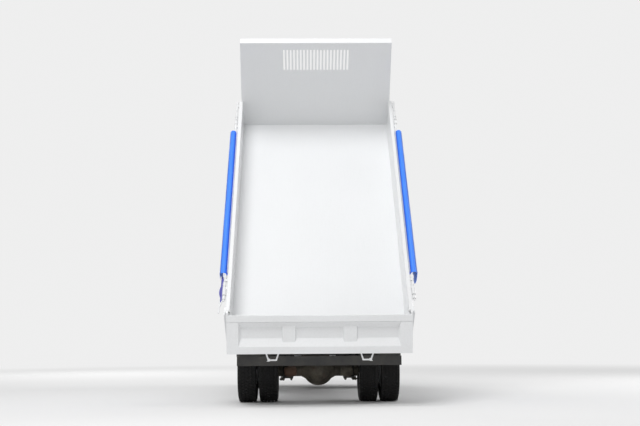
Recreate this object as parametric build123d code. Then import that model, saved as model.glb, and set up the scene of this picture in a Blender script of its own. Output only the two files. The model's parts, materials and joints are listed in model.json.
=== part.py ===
from build123d import *
import os
from math import asin, atan2, cos, degrees, hypot, pi, radians, sin, sqrt, tan

# A medium two-axle cab-over dump truck, parked with its bed raised and its tailgate hanging from
# its top pins. Millimetres; +X is the truck's right, +Y its front, +Z up. Pieces are laid out from
# the rear axle (y = 0) and the ground (z = 0), and moved at the end so that the origin is the
# middle of the truck's footprint. Pieces of the bed are laid out flat in the hinge's frame: x to
# the right, y along the floor from the hinge, z above the hinge.

# Clearances
running_gap = 0.05
seat_gap = 0.3
move_gap = 6

# Wheels
wheelbase = 3800
tyre_r = 420
tyre_w = 248
bead_r = 248
bead_w = 172
rim_lip = 14
rim_wall = 8
dual_pitch = 282
rear_track = 1610
disc_t = 12
disc_flat_r = 150
disc_root = 60
hand_hole_r = 24
hand_holes = 8
hub_r = 112
hub_cap_r = 70
drum_r = 196
drum_wall = 12
spindle_r = 42

# Steered axle
front_wheel_x = 930
kingpin_x = 800
kingpin_r = 20
kingpin_boss_r = 45
beam_w = 90
beam_h = 100
beam_drop = 70
beam_flange = 18
beam_web = 30
backing_r = 170
backing_t = 12

# Frame
rail_out = 420
rail_h = 220
rail_top = 840
rail_flange = 65
rail_t = 7
rail_rear = -740
cross_web = 8
cross_flange = 60
sub_x = 385
sub_w = 70
sub_h = 120
sub_rear = -600
hinge_rise = 15

# Rear axle and springs
axle_r = 85
bowl_r = 195
pinion_y = 330
pinion_r = 70
spring_x = 415
spring_w = 75
leaf_t = 12
leaf_halves = ((640, 600, 480, 350, 220), (600, 560, 430, 300, 180))
spring_rises = (26, 66)
spring_block_h = 60
spring_pin_r = 12
u_bolt_r = 10

# Towing pins
tow_r = 16
tow_y = -765
tow_rear_len = 60
tow_front_z = 470
tow_front_len = 80
tow_half = 60
tow_wall = 45

# Bed, flat in the hinge's frame
hinge_y = -700
hinge_pin_r = 25
hinge_boss_r = 45
bed_tilt_deg = 53
bed_inner_w = 2200
side_h = 460
floor_z = 215
floor_t = 8
floor_rear = -317
cab_clear = 77
bed_cross_h = 60
bed_cross_w = 60
bed_crosses = 12
sill_lift = 5
side_rail_w = 52
side_rail_h = 80
side_sill_h = 30
side_t = 6
stake_w = 100
stake_slant = 22
stakes = 5
stake_back = 8
post_w = 65
post_l = 120

# Front wall
wall_h = 1530
wall_t = 6
wall_top_half = 1090
wall_rail_half = 1120
wall_cap = 110
wall_cap_h = 60
wall_posts = (-1040, -520, 520, 1040)
wall_post_w = 90
wall_post_depth = 70
wall_post_slant = 16
slot_count = 20
slot_pitch = 48.7
slot_w = 24
slot_low = 1050
slot_high = 1410

# Tailgate
gate_half = 1127
gate_h = 465
gate_t = 70
gate_pin_y = -297
gate_pin_z = 705
gate_pin_r = 12
gate_eye_r = 24
gate_drop = 35
gate_arm_w = 20
recess_depth = 48
rib_x = 372
rib_w = 184
rib_depth = 26
rib_slant = 16
end_w = 143
top_band = 78
top_bevel = 72
low_band = 87
low_bevel = 98
band_groove = 5
side_bevel = 26
loop_x = 576
loop_top_w = 170
loop_low_w = 110
loop_h = 92
loop_rod = 16
loop_lump = 30

# Side covers and their end gear
cover_w = 95.7
cover_h = 400
cover_rear = 353
cover_lift = 10
cover_front_gap = 680
gear_x = 28
gear_drop = 20
gear_rear_len = 443
gear_front_len = 678
arm_len = 590

# Hoist
hoist_base_y = 550
hoist_base_drop = 100
hoist_bed_y = 2750
hoist_bed_z = 45
barrel_r = 95
barrel_bore = 75
barrel_len = 1380
barrel_gland = 90
barrel_ring = 12
rod_r = 45
rod_len = 1396
piston_h = 90
foot_pin_r = 35
foot_eye_r = 66
foot_w = 120
eye_r = 62
eye_pin_r = 24
eye_w = 116
hoist_ear_t = 20

# Cab, laid out from the front axle
cab_behind = 530
cab_ahead = 1130
cab_half = 1075
cab_roof = 2450
cab_wall = 50
cab_bow = 70
cab_corner = 110
cab_rear_corner = 40
screen_lean = 340
belt_z = 1500
waist_z = 1350
arch_r = 520
tunnel_half = 400
tunnel_rise = 230
tunnel_wall = 40
tunnel_short = 370
door_t = 50
door_gap = 8
door_len = 790
door_inset = 240
hinge_knuckle_r = 12
hinge_pin = 8
hinge_heights = (900, 1350)
glass_t = 6
glass_depth = 14
screen_margin = 155
rear_window_half = 600
tilt_back = 70
tilt_z = 600
tilt_pin_r = 20
grille_half = 620
grille_low = 1070
grille_high = 1330
grille_depth = 14
grille_slats = 4
seat_w = 480
wheel_rim_r = 200

# Bumper, lamps and steps
bumper_ahead = 50
bumper_low = 420
bumper_top = 725
bumper_wall = 40
bumper_len = 280
bumper_chin = 35
lamp_low = 520
lamp_high = 650
lamp_w = 310
lamp_margin = 122
step_len = 225

# Rear guard and tail lamps
guard_y = -970
guard_low = 500
guard_h = 117
guard_half = 1035
guard_t = 60
tail_w = 250
tail_h = 90

# Worked out from the sizes above
rear_wheel_x = rear_track / 2
dual_in = rear_wheel_x - dual_pitch / 2
dual_out = rear_wheel_x + dual_pitch / 2
axle_z = tyre_r
rail_low = rail_top - rail_h
rail_web = rail_out - rail_t
rail_in = rail_out - rail_flange
sub_top = rail_top + sub_h
hinge_z = sub_top + hinge_rise
hoist_base_z = rail_top - hoist_base_drop
cab_rear = wheelbase - cab_behind
cab_front = wheelbase + cab_ahead
cab_floor = rail_top + 110
cab_skirt = rail_top - 60
rail_front = cab_front - 80
sub_front = cab_rear - 90
bed_half = bed_inner_w / 2
bed_out = bed_half + side_rail_w
bed_front = cab_rear - cab_clear - wall_cap - hinge_y
bed_rail = floor_z + side_h
cross_low = floor_z - floor_t - bed_cross_h
cover_front = bed_front - cover_front_gap
gate_front = floor_rear - move_gap
gate_rear = gate_front - gate_t
gate_top = gate_pin_z - gate_drop
gate_low = gate_top - gate_h
door_front = cab_front - door_inset
door_rear = door_front - door_len
door_top = cab_roof - 150
hinge_x = cab_half - hinge_knuckle_r - 2
hinge_front = door_front + hinge_knuckle_r + door_gap
tunnel_top = cab_floor + tunnel_rise
tunnel_front = cab_front - tunnel_short
tilt_y = cab_front - tilt_back
bumper_front = cab_front + bumper_ahead
tow_front_y = bumper_front - bumper_chin - bumper_wall - tow_r - 20
lamp_out = cab_half - lamp_margin
lamp_in = lamp_out - lamp_w


def block(x0, x1, y0, y1, z0, z1):
    """A box between two corners."""
    return Pos((x0 + x1) / 2, (y0 + y1) / 2, (z0 + z1) / 2) * Box(x1 - x0, y1 - y0, z1 - z0)


def rod_x(r, x0, x1, y, z):
    """A round bar along X."""
    return Pos((x0 + x1) / 2, y, z) * Rot(0, 90, 0) * Cylinder(r, x1 - x0)


def rod_y(r, y0, y1, x, z):
    """A round bar along Y."""
    return Pos(x, (y0 + y1) / 2, z) * Rot(90, 0, 0) * Cylinder(r, y1 - y0)


def rod_z(r, z0, z1, x, y):
    """A round bar along Z."""
    return Pos(x, y, (z0 + z1) / 2) * Cylinder(r, z1 - z0)


def side_plate(points, x0, x1):
    """A plate with an outline in (y, z), from x0 to x1."""
    face = Plane.YZ * make_face(Polyline(*points, close=True))
    return Pos(x0, 0, 0) * extrude(face, amount=x1 - x0)


def section(points, y0, y1):
    """A bar with a section in (x, z), from y0 to y1."""
    face = Plane.XZ * make_face(Polyline(*points, close=True))
    return Pos(0, y1, 0) * extrude(face, amount=y1 - y0)


def upright(points, z0, z1):
    """A post with a plan in (x, y), from z0 to z1."""
    return Pos(0, 0, z0) * extrude(make_face(Polyline(*points, close=True)), amount=z1 - z0)


def turned(points):
    """A solid turned about X, with an outline in (x, radius)."""
    return revolve(make_face(Polyline(*points, close=True)), axis=Axis.X)


def turned_y(points, x, z):
    """A solid turned about a line along Y at (x, z), with an outline in (y, radius)."""
    return Pos(x, 0, z) * Rot(0, 0, 90) * turned(points)


def left_of(part):
    """The same piece on the truck's left."""
    return mirror(part, about=Plane.YZ)


def both(part):
    """A piece and its mirror image, as solids of one node."""
    return Compound(children=[part, left_of(part)])


def raised(part):
    """A piece of the bed, from its flat place to its place on the raised bed."""
    return Pos(0, hinge_y, hinge_z) * Rot(bed_tilt_deg, 0, 0) * part


def raised_point(y, z):
    """Where a point of the flat bed is on the raised bed."""
    a = radians(bed_tilt_deg)
    return hinge_y + y * cos(a) - z * sin(a), hinge_z + y * sin(a) + z * cos(a)


# Frame


def frame_rail():
    """A channel with its web outwards."""
    points = [(rail_out, rail_low), (rail_out, rail_top), (rail_in, rail_top), (rail_in, rail_top - rail_t),
              (rail_web, rail_top - rail_t), (rail_web, rail_low + rail_t), (rail_in, rail_low + rail_t),
              (rail_in, rail_low)]
    return section(points, rail_rear, rail_front)


def crossmembers():
    """Channels between the rails; the rear one carries the towing eye."""
    low, top = rail_low + rail_t, rail_top - rail_t
    bars = []
    for y in (rail_rear + 20, -270, wheelbase - 1430, cab_front - 340):
        points = [(y, low), (y, top), (y + cross_flange, top), (y + cross_flange, top - cross_web),
                  (y + cross_web, top - cross_web), (y + cross_web, low + cross_web),
                  (y + cross_flange, low + cross_web), (y + cross_flange, low)]
        bars.append(side_plate(points, -rail_web, rail_web))
    eye_low = rail_low + 20
    eye = block(-tow_half, tow_half, tow_y - tow_wall, rail_rear + 20, eye_low, eye_low + tow_rear_len)
    eye += rod_z(tow_half, eye_low, eye_low + tow_rear_len, 0, tow_y)
    eye &= block(-tow_half, tow_half, tow_y - tow_wall, rail_rear + 20, eye_low, eye_low + tow_rear_len)
    bars[0] += eye - rod_z(tow_r, rail_low, rail_top, 0, tow_y)
    return Compound(children=bars)


def subframe():
    """The right beam on the rail, with the plates that tie it to the rail's web."""
    beam = block(sub_x - sub_w / 2, sub_x + sub_w / 2, sub_rear, sub_front, rail_top, sub_top)
    for y in (sub_rear + 180, sub_rear + 1080, sub_rear + 1980, sub_front - 330):
        beam += block(rail_out, rail_out + 8, y - 35, y + 35, rail_top - 60, sub_top - 30)
    return beam


def hinge_bracket():
    """A base plate on the rail, two ears and the pin that the bed's boss turns on."""
    ear_t, base_t, cap_t = 15, 15, 6
    inner = sub_x - sub_w / 2 - move_gap
    outer = sub_x + sub_w / 2 + move_gap
    front = sub_rear - 10
    part = block(inner - ear_t, outer + ear_t, rail_rear, front, rail_top, rail_top + base_t)
    for x0 in (inner - ear_t, outer):
        points = [(rail_rear, rail_top), (front, rail_top), (hinge_y + hinge_boss_r, hinge_z),
                  (hinge_y - hinge_boss_r, hinge_z)]
        part += side_plate(points, x0, x0 + ear_t)
        part += rod_x(hinge_boss_r, x0, x0 + ear_t, hinge_y, hinge_z)
    part += rod_x(hinge_pin_r + 8, outer + ear_t, outer + ear_t + cap_t, hinge_y, hinge_z)
    return part + rod_x(hinge_pin_r, inner, outer, hinge_y, hinge_z)


def hoist_base():
    """A cross tube between the rails that the hoist's foot turns on."""
    flange_r, flange_t = 80, 12
    cheek = foot_w / 2 + move_gap + flange_t
    part = rod_x(foot_pin_r, -rail_web, rail_web, hoist_base_y, hoist_base_z)
    for x in (-rail_web, rail_web - flange_t, -cheek, cheek - flange_t):
        part += rod_x(flange_r, x, x + flange_t, hoist_base_y, hoist_base_z)
    for x0, x1 in ((-rail_web + flange_t, -cheek), (cheek, rail_web - flange_t)):
        part += rod_x(foot_pin_r + 16, x0, x1, hoist_base_y, hoist_base_z)
    return part


# Axles, springs and drive line


def front_axle():
    """A dropped I-beam with the kingpins at its ends."""
    top = axle_z + beam_h / 2
    bend, end = kingpin_x - 280, kingpin_x - 60
    low = top - beam_h

    def outline(trim):
        upper = [(-end + trim, top - trim), (-bend, top - beam_drop - trim), (bend, top - beam_drop - trim),
                 (end - trim, top - trim)]
        lower = [(end - trim, low + trim), (bend, low - beam_drop + trim), (-bend, low - beam_drop + trim),
                 (-end + trim, low + trim)]
        return upper + lower

    beam = section(outline(0), wheelbase - beam_w / 2, wheelbase + beam_w / 2)
    for side in (-1, 1):
        y0, y1 = sorted((wheelbase + side * beam_web / 2, wheelbase + side * (beam_w / 2 + 1)))
        beam -= section(outline(beam_flange), y0, y1)
    for side in (-1, 1):
        x0, x1 = sorted((side * kingpin_x, side * (end - 20)))
        beam += rod_z(kingpin_boss_r, low, top, side * kingpin_x, wheelbase)
        beam += block(x0, x1, wheelbase - 40, wheelbase + 40, low, top)
        beam += rod_z(kingpin_r, low - 52, top + 52, side * kingpin_x, wheelbase)
    return beam


def knuckle():
    """The fork on the kingpin, the brake's backing plate and the spindle, on the right."""
    fork_gap = beam_h / 2 + move_gap
    fork_t = 44
    back = kingpin_x + kingpin_boss_r + move_gap
    part = rod_x(backing_r, back, back + backing_t, wheelbase, axle_z)
    for z0 in (axle_z - fork_gap - fork_t, axle_z + fork_gap):
        part += rod_z(kingpin_boss_r, z0, z0 + fork_t, kingpin_x, wheelbase)
        part += block(kingpin_x, back, wheelbase - kingpin_boss_r, wheelbase + kingpin_boss_r, z0, z0 + fork_t)
    bore_half = fork_gap + fork_t + 20
    part -= rod_z(kingpin_r + running_gap, axle_z - bore_half, axle_z + bore_half, kingpin_x, wheelbase)
    return part + rod_x(spindle_r, back, front_wheel_x + 120, wheelbase, axle_z)


def rear_axle():
    """The tube, its round bowl with the pinion's nose, and the spindles in the hubs."""
    tube = dual_in - tyre_w / 2
    part = rod_x(axle_r, -tube, tube, 0, axle_z)
    ring, cover = bowl_r + 12, bowl_r - 60
    outline = [(-bowl_r + 20, 0), (-bowl_r + 20, 70), (-cover, cover), (-60, bowl_r), (-16, bowl_r), (-16, ring),
               (16, ring), (16, bowl_r), (70, bowl_r), (190, 105), (pinion_y - 40, pinion_r),
               (pinion_y, pinion_r), (pinion_y, 0)]
    part += turned_y(outline, 0, axle_z)
    for side in (-1, 1):
        cone = turned([(side * 110, 0), (side * 110, bowl_r - 45), (side * 230, axle_r), (side * 230, 0)])
        part += Pos(0, 0, axle_z) * cone
    return part + rod_x(spindle_r, -rear_wheel_x - 90, rear_wheel_x + 90, 0, axle_z)


def leaf_pack(y, halves, seat_z, rise):
    """Curved leaves over a seat, the longest on top; returns the pack and its eyes' height."""
    count = len(halves)
    low_r = halves[0] ** 2 / (2 * rise)
    middle_z = seat_z + low_r

    def at(d, layer):
        return y + d, middle_z - sqrt((low_r - layer * leaf_t) ** 2 - d * d)

    long = halves[0]
    edges = [ThreePointArc(at(-long, count), at(0, count), at(long, count))]
    for i in range(count - 1):
        layer = count - 1 - i
        here, after = halves[i], halves[i + 1]
        for side in (-1, 1):
            edges.append(Line(at(side * here, layer + 1), at(side * here, layer)))
            edges.append(ThreePointArc(at(side * here, layer), at(side * (here + after) / 2, layer),
                                       at(side * after, layer)))
    last = halves[-1]
    for side in (-1, 1):
        edges.append(Line(at(side * last, 1), at(side * last, 0)))
    edges.append(ThreePointArc(at(-last, 0), at(0, 0), at(last, 0)))
    face = Plane.YZ * make_face(edges)
    pack = Pos(spring_x - spring_w / 2, 0, 0) * extrude(face, amount=spring_w)
    return pack, at(long, count - 0.5)[1]


def spring_hangers(y, half, eye_z):
    """The eyes, pins and brackets that carry a spring from the rail's web and lower flange."""
    x0, x1 = spring_x - spring_w / 2, spring_x + spring_w / 2
    ear_t, eye = 8, leaf_t + spring_pin_r
    part = Part()
    for end in (y - half, y + half):
        part += rod_x(eye, x0, x1, end, eye_z)
        part += rod_x(spring_pin_r, x0 - ear_t - 6, x1 + ear_t + 6, end, eye_z)
        ear = [(end - 45, rail_low), (end + 45, rail_low), (end + eye, eye_z - eye + 6),
               (end - eye, eye_z - eye + 6)]
        part += side_plate(ear, x0 - ear_t, x0) + side_plate(ear, x1, x1 + ear_t)
        part += side_plate([(end - 50, rail_low), (end + 50, rail_low), (end + 40, rail_low + 110),
                            (end - 40, rail_low + 110)], rail_out, x1 + ear_t)
    return part


def axle_clamp(y, half_y, low, top):
    """U-bolts, a plate below and a plate above the leaves, that hold a spring on an axle."""
    half_x = spring_w / 2 + u_bolt_r + 4
    plate_x, plate_y = half_x + 24, half_y + 24
    part = block(spring_x - plate_x, spring_x + plate_x, y - plate_y, y + plate_y, low - 22, low)
    part += block(spring_x - half_x, spring_x + half_x, y - half_y - 14, y + half_y + 14, top, top + 16)
    for dy in (-half_y, half_y):
        for dx in (-half_x, half_x):
            part += rod_z(u_bolt_r, low - 50, top + 16, spring_x + dx, y + dy)
    return part


def rear_spring():
    seat = axle_z + axle_r + seat_gap
    pack, eye_z = leaf_pack(0, leaf_halves[0], seat, spring_rises[0])
    top = seat + len(leaf_halves[0]) * leaf_t
    clamp = axle_clamp(0, axle_r + u_bolt_r + 6, axle_z - axle_r - seat_gap, top)
    return pack + spring_hangers(0, leaf_halves[0][0], eye_z) + clamp


def front_spring():
    beam_top = axle_z + beam_h / 2 - beam_drop
    seat = beam_top + spring_block_h
    pack, eye_z = leaf_pack(wheelbase, leaf_halves[1], seat, spring_rises[1])
    pack += block(spring_x - 42, spring_x + 42, wheelbase - 55, wheelbase + 55, beam_top, seat)
    top = seat + len(leaf_halves[1]) * leaf_t
    clamp = axle_clamp(wheelbase, beam_w / 2 + u_bolt_r + 6, beam_top - beam_h, top)
    return pack + spring_hangers(wheelbase, leaf_halves[1][0], eye_z) + clamp


def engine():
    """The engine and gearbox, as one plain mass between the rails."""
    rear, front = wheelbase - 380, wheelbase + 650
    part = block(-330, 330, rear, front, rail_low + 100, rail_top + 260)
    part += block(-240, 240, rear + 60, front - 60, rail_low - 100, rail_low + 100)
    part += block(-200, 200, gearbox_rear, rear, rail_low - 140, rail_low + 200)
    for side in (-1, 1):
        x0, x1 = sorted((side * 330, side * rail_web))
        part += block(x0, x1, rear + 140, rear + 240, rail_low + 110, rail_top - rail_t)
    return part


gearbox_rear = wheelbase - 1050
gearbox_z = rail_low - 60


def propshaft():
    """The shaft from the gearbox down to the pinion, with its end yokes."""
    length = hypot(gearbox_rear - pinion_y, gearbox_z - axle_z)
    lean = degrees(atan2(gearbox_z - axle_z, gearbox_rear - pinion_y))
    flange_r, yoke_len = 62, 60
    clear = flange_r * tan(radians(lean)) + seat_gap
    outline = [(clear, 0), (clear, flange_r), (clear + 14, flange_r), (clear + 14, 46), (yoke_len, 38),
               (yoke_len + 40, 45), (length - yoke_len - 40, 45), (length - yoke_len, 38),
               (length - clear - 14, 46), (length - clear - 14, flange_r), (length - clear, flange_r),
               (length - clear, 0)]
    return Pos(0, pinion_y, axle_z) * Rot(lean, 0, 0) * turned_y(outline, 0, 0)


def side_shelf(y, x1, low):
    """An angle from the rail's web that carries something at the side of the frame."""
    points = [(rail_out, low), (x1, low), (x1, low + 8), (rail_out + 60, low + 16), (rail_out + 16, low + 70),
              (rail_out + 16, rail_top - 30), (rail_out, rail_top - 30)]
    return section(points, y, y + 40)


def strapped_box(x0, x1, y0, y1, z0, z1, corner, straps):
    """A box with round corners and raised straps about it."""
    part = block(x0, x1, y0, y1, z0, z1)
    part = fillet(part.edges().filter_by(Axis.Y), corner)
    for y in straps:
        band = block(x0 - 3, x1 + 3, y, y + 40, z0 - 3, z1 + 3)
        part += fillet(band.edges().filter_by(Axis.Y), corner + 3)
    return part


def fuel_tank():
    x0, y0, y1, low, corner = rail_out + 50, 1750, wheelbase - 1150, 470, 60
    x1, top = x0 + 490, low + 390
    straps = (y0 + 150, y1 - 190)
    part = strapped_box(x0, x1, y0, y1, low, top, corner, straps)
    for y in straps:
        part += side_shelf(y, x1 - corner, low - 11)
        part += block(x0 + corner, x1 - corner, y, y + 40, low - 4, low)
        part += block(rail_out, x0 + 10, y, y + 40, low + 160, low + 190)
    return part + rod_z(45, top, top + 28, x0 + 170, y1 - 90)


def battery_box():
    x0, y0, y1, low, top = rail_out + 80, 1850, wheelbase - 1350, 520, 800
    part = block(x0, x0 + 400, y0, y1, low, top - 60)
    part += block(x0 - 6, x0 + 408, y0 - 8, y1 + 8, top - 60, top)
    for y in (y0 + 100, y1 - 140):
        part += side_shelf(y, x0 + 380, low - 8)
        part += block(rail_out, x0, y, y + 40, low + 150, low + 180)
    return part


def air_tanks():
    """Two tanks with domed ends, in one cradle on the rail's right web."""
    r, x, z, length = 100, rail_out + 140, rail_low + 20, 290
    part = Part()
    for y in (1080, 1420):
        part += turned_y([(y, 0), (y, r * 0.55), (y + 34, r * 0.94), (y + 52, r), (y + length - 52, r),
                          (y + length - 34, r * 0.94), (y + length, r * 0.55), (y + length, 0)], x, z)
        for band in (y + 80, y + length - 100):
            part += rod_y(r + 3, band, band + 20, x, z)
    return part + block(rail_out, x - r + 24, 1130, 1660, z - 30, z + 30)


def silencer():
    """The silencer with its rolled ends and its short tail pipe, on the right."""
    r, x, z = 140, rail_out + 220, rail_low - 60
    y0, y1 = wheelbase - 1140, wheelbase - 720
    part = turned_y([(y0, 0), (y0, r - 10), (y0 + 10, r), (y1 - 10, r), (y1, r - 10), (y1, 0)], x, z)
    for y in (y0 + 60, y1 - 84):
        part += rod_y(r + 4, y, y + 24, x, z)
    part += rod_y(42, y0 - 150, y0, x, z) - rod_y(36, y0 - 151, y0 - 20, x, z)
    return part + block(rail_out, x, y0 + 140, y0 + 240, z + 80, z + 130)


def side_guard():
    """Two pipes along the side between the axles, on posts and arms from the rail."""
    x, lows, r = cab_half + 10, (520, 700), 20
    y0, y1 = 750, wheelbase - 750
    arm_z = rail_top - 20
    part = Part()
    for z in lows:
        part += rod_y(r, y0, y1, x, z)
    for y in (y0 + 250, y1 - 330):
        part += block(x - 20, x + 20, y - 25, y + 25, lows[0] - r, arm_z + 15)
        part += block(rail_out, x, y - 25, y + 25, arm_z - 15, arm_z + 15)
    return part


def rear_fender():
    """The mudguard over the right twin wheels with its stay."""
    outer_r, fender_t = tyre_r + 75, 6
    x0, x1 = rear_wheel_x - 285, rear_wheel_x + 270
    part = rod_x(outer_r, x0, x1, 0, axle_z) - rod_x(outer_r - fender_t, x0 - 1, x1 + 1, 0, axle_z)
    part &= block(0, 2000, -600, 600, axle_z + 190, axle_z + 600)
    lip = rod_x(outer_r + 8, x1 - fender_t, x1, 0, axle_z) - rod_x(outer_r - 8, x1 - 10, x1 + 1, 0, axle_z)
    part += lip & block(0, 2000, -600, 600, axle_z + 190, axle_z + 600)
    part += block(rail_out, x0 + 8, -30, 30, rail_top - 40, rail_top - 20)
    return part + block(x0, x0 + 8, -30, 30, rail_top - 40, axle_z + outer_r - 3)


def rear_guard():
    """The rear guard: a channel across the truck's back on two brackets below the rails."""
    top = guard_low + guard_h
    y0, y1 = guard_y, guard_y + guard_t
    wall = 6
    part = side_plate([(y0, guard_low), (y0, top), (y1, top), (y1, top - wall), (y0 + wall, top - wall),
                       (y0 + wall, guard_low + wall), (y1, guard_low + wall), (y1, guard_low)],
                      -guard_half, guard_half)
    for side in (-1, 1):
        x0, x1 = sorted((side * rail_out, side * (rail_out - 40)))
        part += side_plate([(y0 + wall, guard_low + wall), (y1 + 60, guard_low + wall), (rail_rear + 90, rail_low),
                            (rail_rear, rail_low), (y1, top - wall), (y0 + wall, top - wall)], x0, x1)
        cap0, cap1 = sorted((side * guard_half, side * (guard_half - wall)))
        part += block(cap0, cap1, y0, y1, guard_low, top)
    return part


def tail_lamp():
    """The right lamp's housing on the guard, with three framed lenses."""
    x0 = guard_half - 35 - tail_w
    z0 = guard_low + guard_h
    part = block(x0, x0 + tail_w, guard_y + 12, guard_y + 50, z0, z0 + tail_h)
    for i in range(3):
        a = x0 + 8 + i * (tail_w - 8) / 3
        part += block(a, a + tail_w / 3 - 10, guard_y + 5, guard_y + 12, z0 + 12, z0 + tail_h - 10)
    return part


# Wheels


def tyre(x):
    """A tyre without tread, on its rim's beads."""
    half = tyre_w / 2
    bead = bead_w / 2 - seat_gap
    inner = bead_r + seat_gap
    crown = half - 8
    right = (Line((0, inner), (bead, inner)) + Line((bead, inner), (bead, inner + 18))
             + ThreePointArc((bead, inner + 18), (half, inner + 87), (crown, tyre_r - 22))
             + Line((crown, tyre_r - 22), (crown - 18, tyre_r - 4)) + Line((crown - 18, tyre_r - 4), (0, tyre_r)))
    outline = right + mirror(right, about=Plane.YZ)
    return Pos(x, 0, axle_z) * revolve(make_face(outline), axis=Axis.X)


def rim(x, disc_x):
    """A rim with its dished disc and hand holes, with the disc's bolted face at disc_x."""
    half = bead_w / 2 + rim_lip
    lip, bore = bead_r + rim_lip, bead_r - rim_wall
    well = bead_r - 26
    part = turned([(-half, bore), (-40, bore), (-24, well - rim_wall), (24, well - rim_wall), (40, bore),
                   (half, bore), (half, lip), (half - rim_lip, lip), (half - rim_lip, bead_r), (46, bead_r),
                   (28, well), (-28, well), (-46, bead_r), (-half + rim_lip, bead_r), (-half + rim_lip, lip),
                   (-half, lip)])
    step = 1 if disc_x > x else -1
    near = disc_x - x
    far = near - step * disc_t
    root = step * disc_root
    disc = turned([(near, spindle_r + running_gap), (near, disc_flat_r), (root + step * disc_t, bore + 1),
                   (root, bore + 1), (far, disc_flat_r - 10), (far, spindle_r + running_gap)])
    hole_at = (disc_flat_r + bore) / 2 + 4
    x0, x1 = sorted((root - step * 5, near))
    for i in range(hand_holes):
        a = 2 * pi * i / hand_holes
        disc -= rod_x(hand_hole_r, x0, x1, hole_at * cos(a), hole_at * sin(a))
    return Pos(x, 0, axle_z) * (part + disc)


def hub(outline):
    """A turned hub about the spindle, with an outline in (x, radius) above the bore."""
    bore = spindle_r + running_gap
    return Pos(0, 0, axle_z) * turned([(outline[0][0], bore)] + outline + [(outline[-1][0], bore)])


def drum(x0, x1):
    """A brake drum with its web at x1, open towards x0."""
    return Pos(0, 0, axle_z) * turned([(x0, drum_r - drum_wall), (x0, drum_r), (x1, drum_r), (x1, 60),
                                       (x1 - drum_wall, 60), (x1 - drum_wall, drum_r - drum_wall)])


def front_wheel():
    """The rim, hub and drum on the right front spindle."""
    face = front_wheel_x + dual_pitch / 2
    drum_in = kingpin_x + kingpin_boss_r + move_gap + backing_t + move_gap
    part = rim(front_wheel_x, face) + drum(drum_in, front_wheel_x + 40)
    part += hub([(front_wheel_x + 20, hub_r - 20), (face, hub_r - 20), (face, hub_cap_r + 6),
                 (face + 16, hub_cap_r), (face + 24, hub_cap_r - 14)])
    return Pos(0, wheelbase, 0) * part


def rear_wheel():
    """Two rims back to back on one hub with its drum."""
    part = rim(dual_in, rear_wheel_x) + rim(dual_out, rear_wheel_x)
    part += hub([(rear_wheel_x - 60, hub_r), (rear_wheel_x + 70, hub_r), (rear_wheel_x + 82, hub_cap_r + 14),
                 (rear_wheel_x + 120, hub_cap_r), (rear_wheel_x + 130, hub_cap_r - 16)])
    return part + drum(dual_in - 60, rear_wheel_x - 30)


# Bed, laid out flat in the hinge's frame


def bed_floor():
    return block(-bed_half, bed_half, floor_rear, bed_front, floor_z - floor_t, floor_z)


def bed_sill():
    """The right sill with its hinge boss and its ear of the hoist's clevis."""
    x0, x1 = sub_x - sub_w / 2, sub_x + sub_w / 2
    part = block(x0, x1, floor_rear, bed_front, -sill_lift, cross_low)
    part += rod_x(hinge_boss_r, x0, x1, 0, 0)
    part -= rod_x(hinge_pin_r + running_gap, x0 - 1, x1 + 1, 0, 0)
    ear_in = eye_w / 2 + move_gap
    low = cross_low - 40
    ear = side_plate([(hoist_bed_y - 110, cross_low), (hoist_bed_y + 110, cross_low),
                      (hoist_bed_y + 40, hoist_bed_z - 32), (hoist_bed_y - 40, hoist_bed_z - 32)],
                     ear_in, ear_in + hoist_ear_t)
    return part + ear + block(ear_in, x0, hoist_bed_y - 100, hoist_bed_y + 100, low, cross_low)


def bed_underframe():
    """The crossmembers between the sills and the floor."""
    pitch = (bed_front - floor_rear - bed_cross_w) / (bed_crosses - 1)
    kids = []
    for i in range(bed_crosses):
        y = floor_rear + i * pitch
        kids.append(block(-bed_half, bed_half, y, y + bed_cross_w, cross_low, floor_z - floor_t))
    return Compound(children=kids)


def bed_side():
    """The right side: inner plate, rails, hat-shaped stakes, and the rear post with the gate's pin."""
    top = bed_rail - side_rail_h
    skin = bed_half + side_t
    part = block(bed_half, skin, floor_rear, bed_front, cross_low, bed_rail)
    part += section([(bed_half, top), (bed_half, bed_rail), (bed_out - 8, bed_rail), (bed_out, bed_rail - 8),
                     (bed_out, top)], floor_rear, bed_front)
    part += block(bed_half, bed_out, floor_rear, bed_front, cross_low, floor_z + side_sill_h)
    first = floor_rear + post_l
    pitch = (bed_front - first - stake_w) / stakes
    for i in range(1, stakes + 1):
        y = first + i * pitch
        face_x = bed_out - stake_back
        part += upright([(skin, y), (face_x, y + stake_slant), (face_x, y + stake_w - stake_slant),
                         (skin, y + stake_w)], floor_z + side_sill_h, top)
    part += block(bed_half, bed_half + post_w, floor_rear, first, cross_low, bed_rail)
    lug_in = gate_half + move_gap
    lug = side_plate([(floor_rear, bed_rail - 20), (floor_rear + 60, bed_rail - 20),
                      (gate_pin_y + gate_eye_r, gate_pin_z), (gate_pin_y - 20, gate_pin_z)],
                     lug_in, lug_in + gate_arm_w)
    lug += rod_x(20, lug_in, lug_in + gate_arm_w, gate_pin_y, gate_pin_z)
    return part + lug + rod_x(gate_pin_r, gate_half - gate_arm_w - 4, lug_in, gate_pin_y, gate_pin_z)


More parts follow.
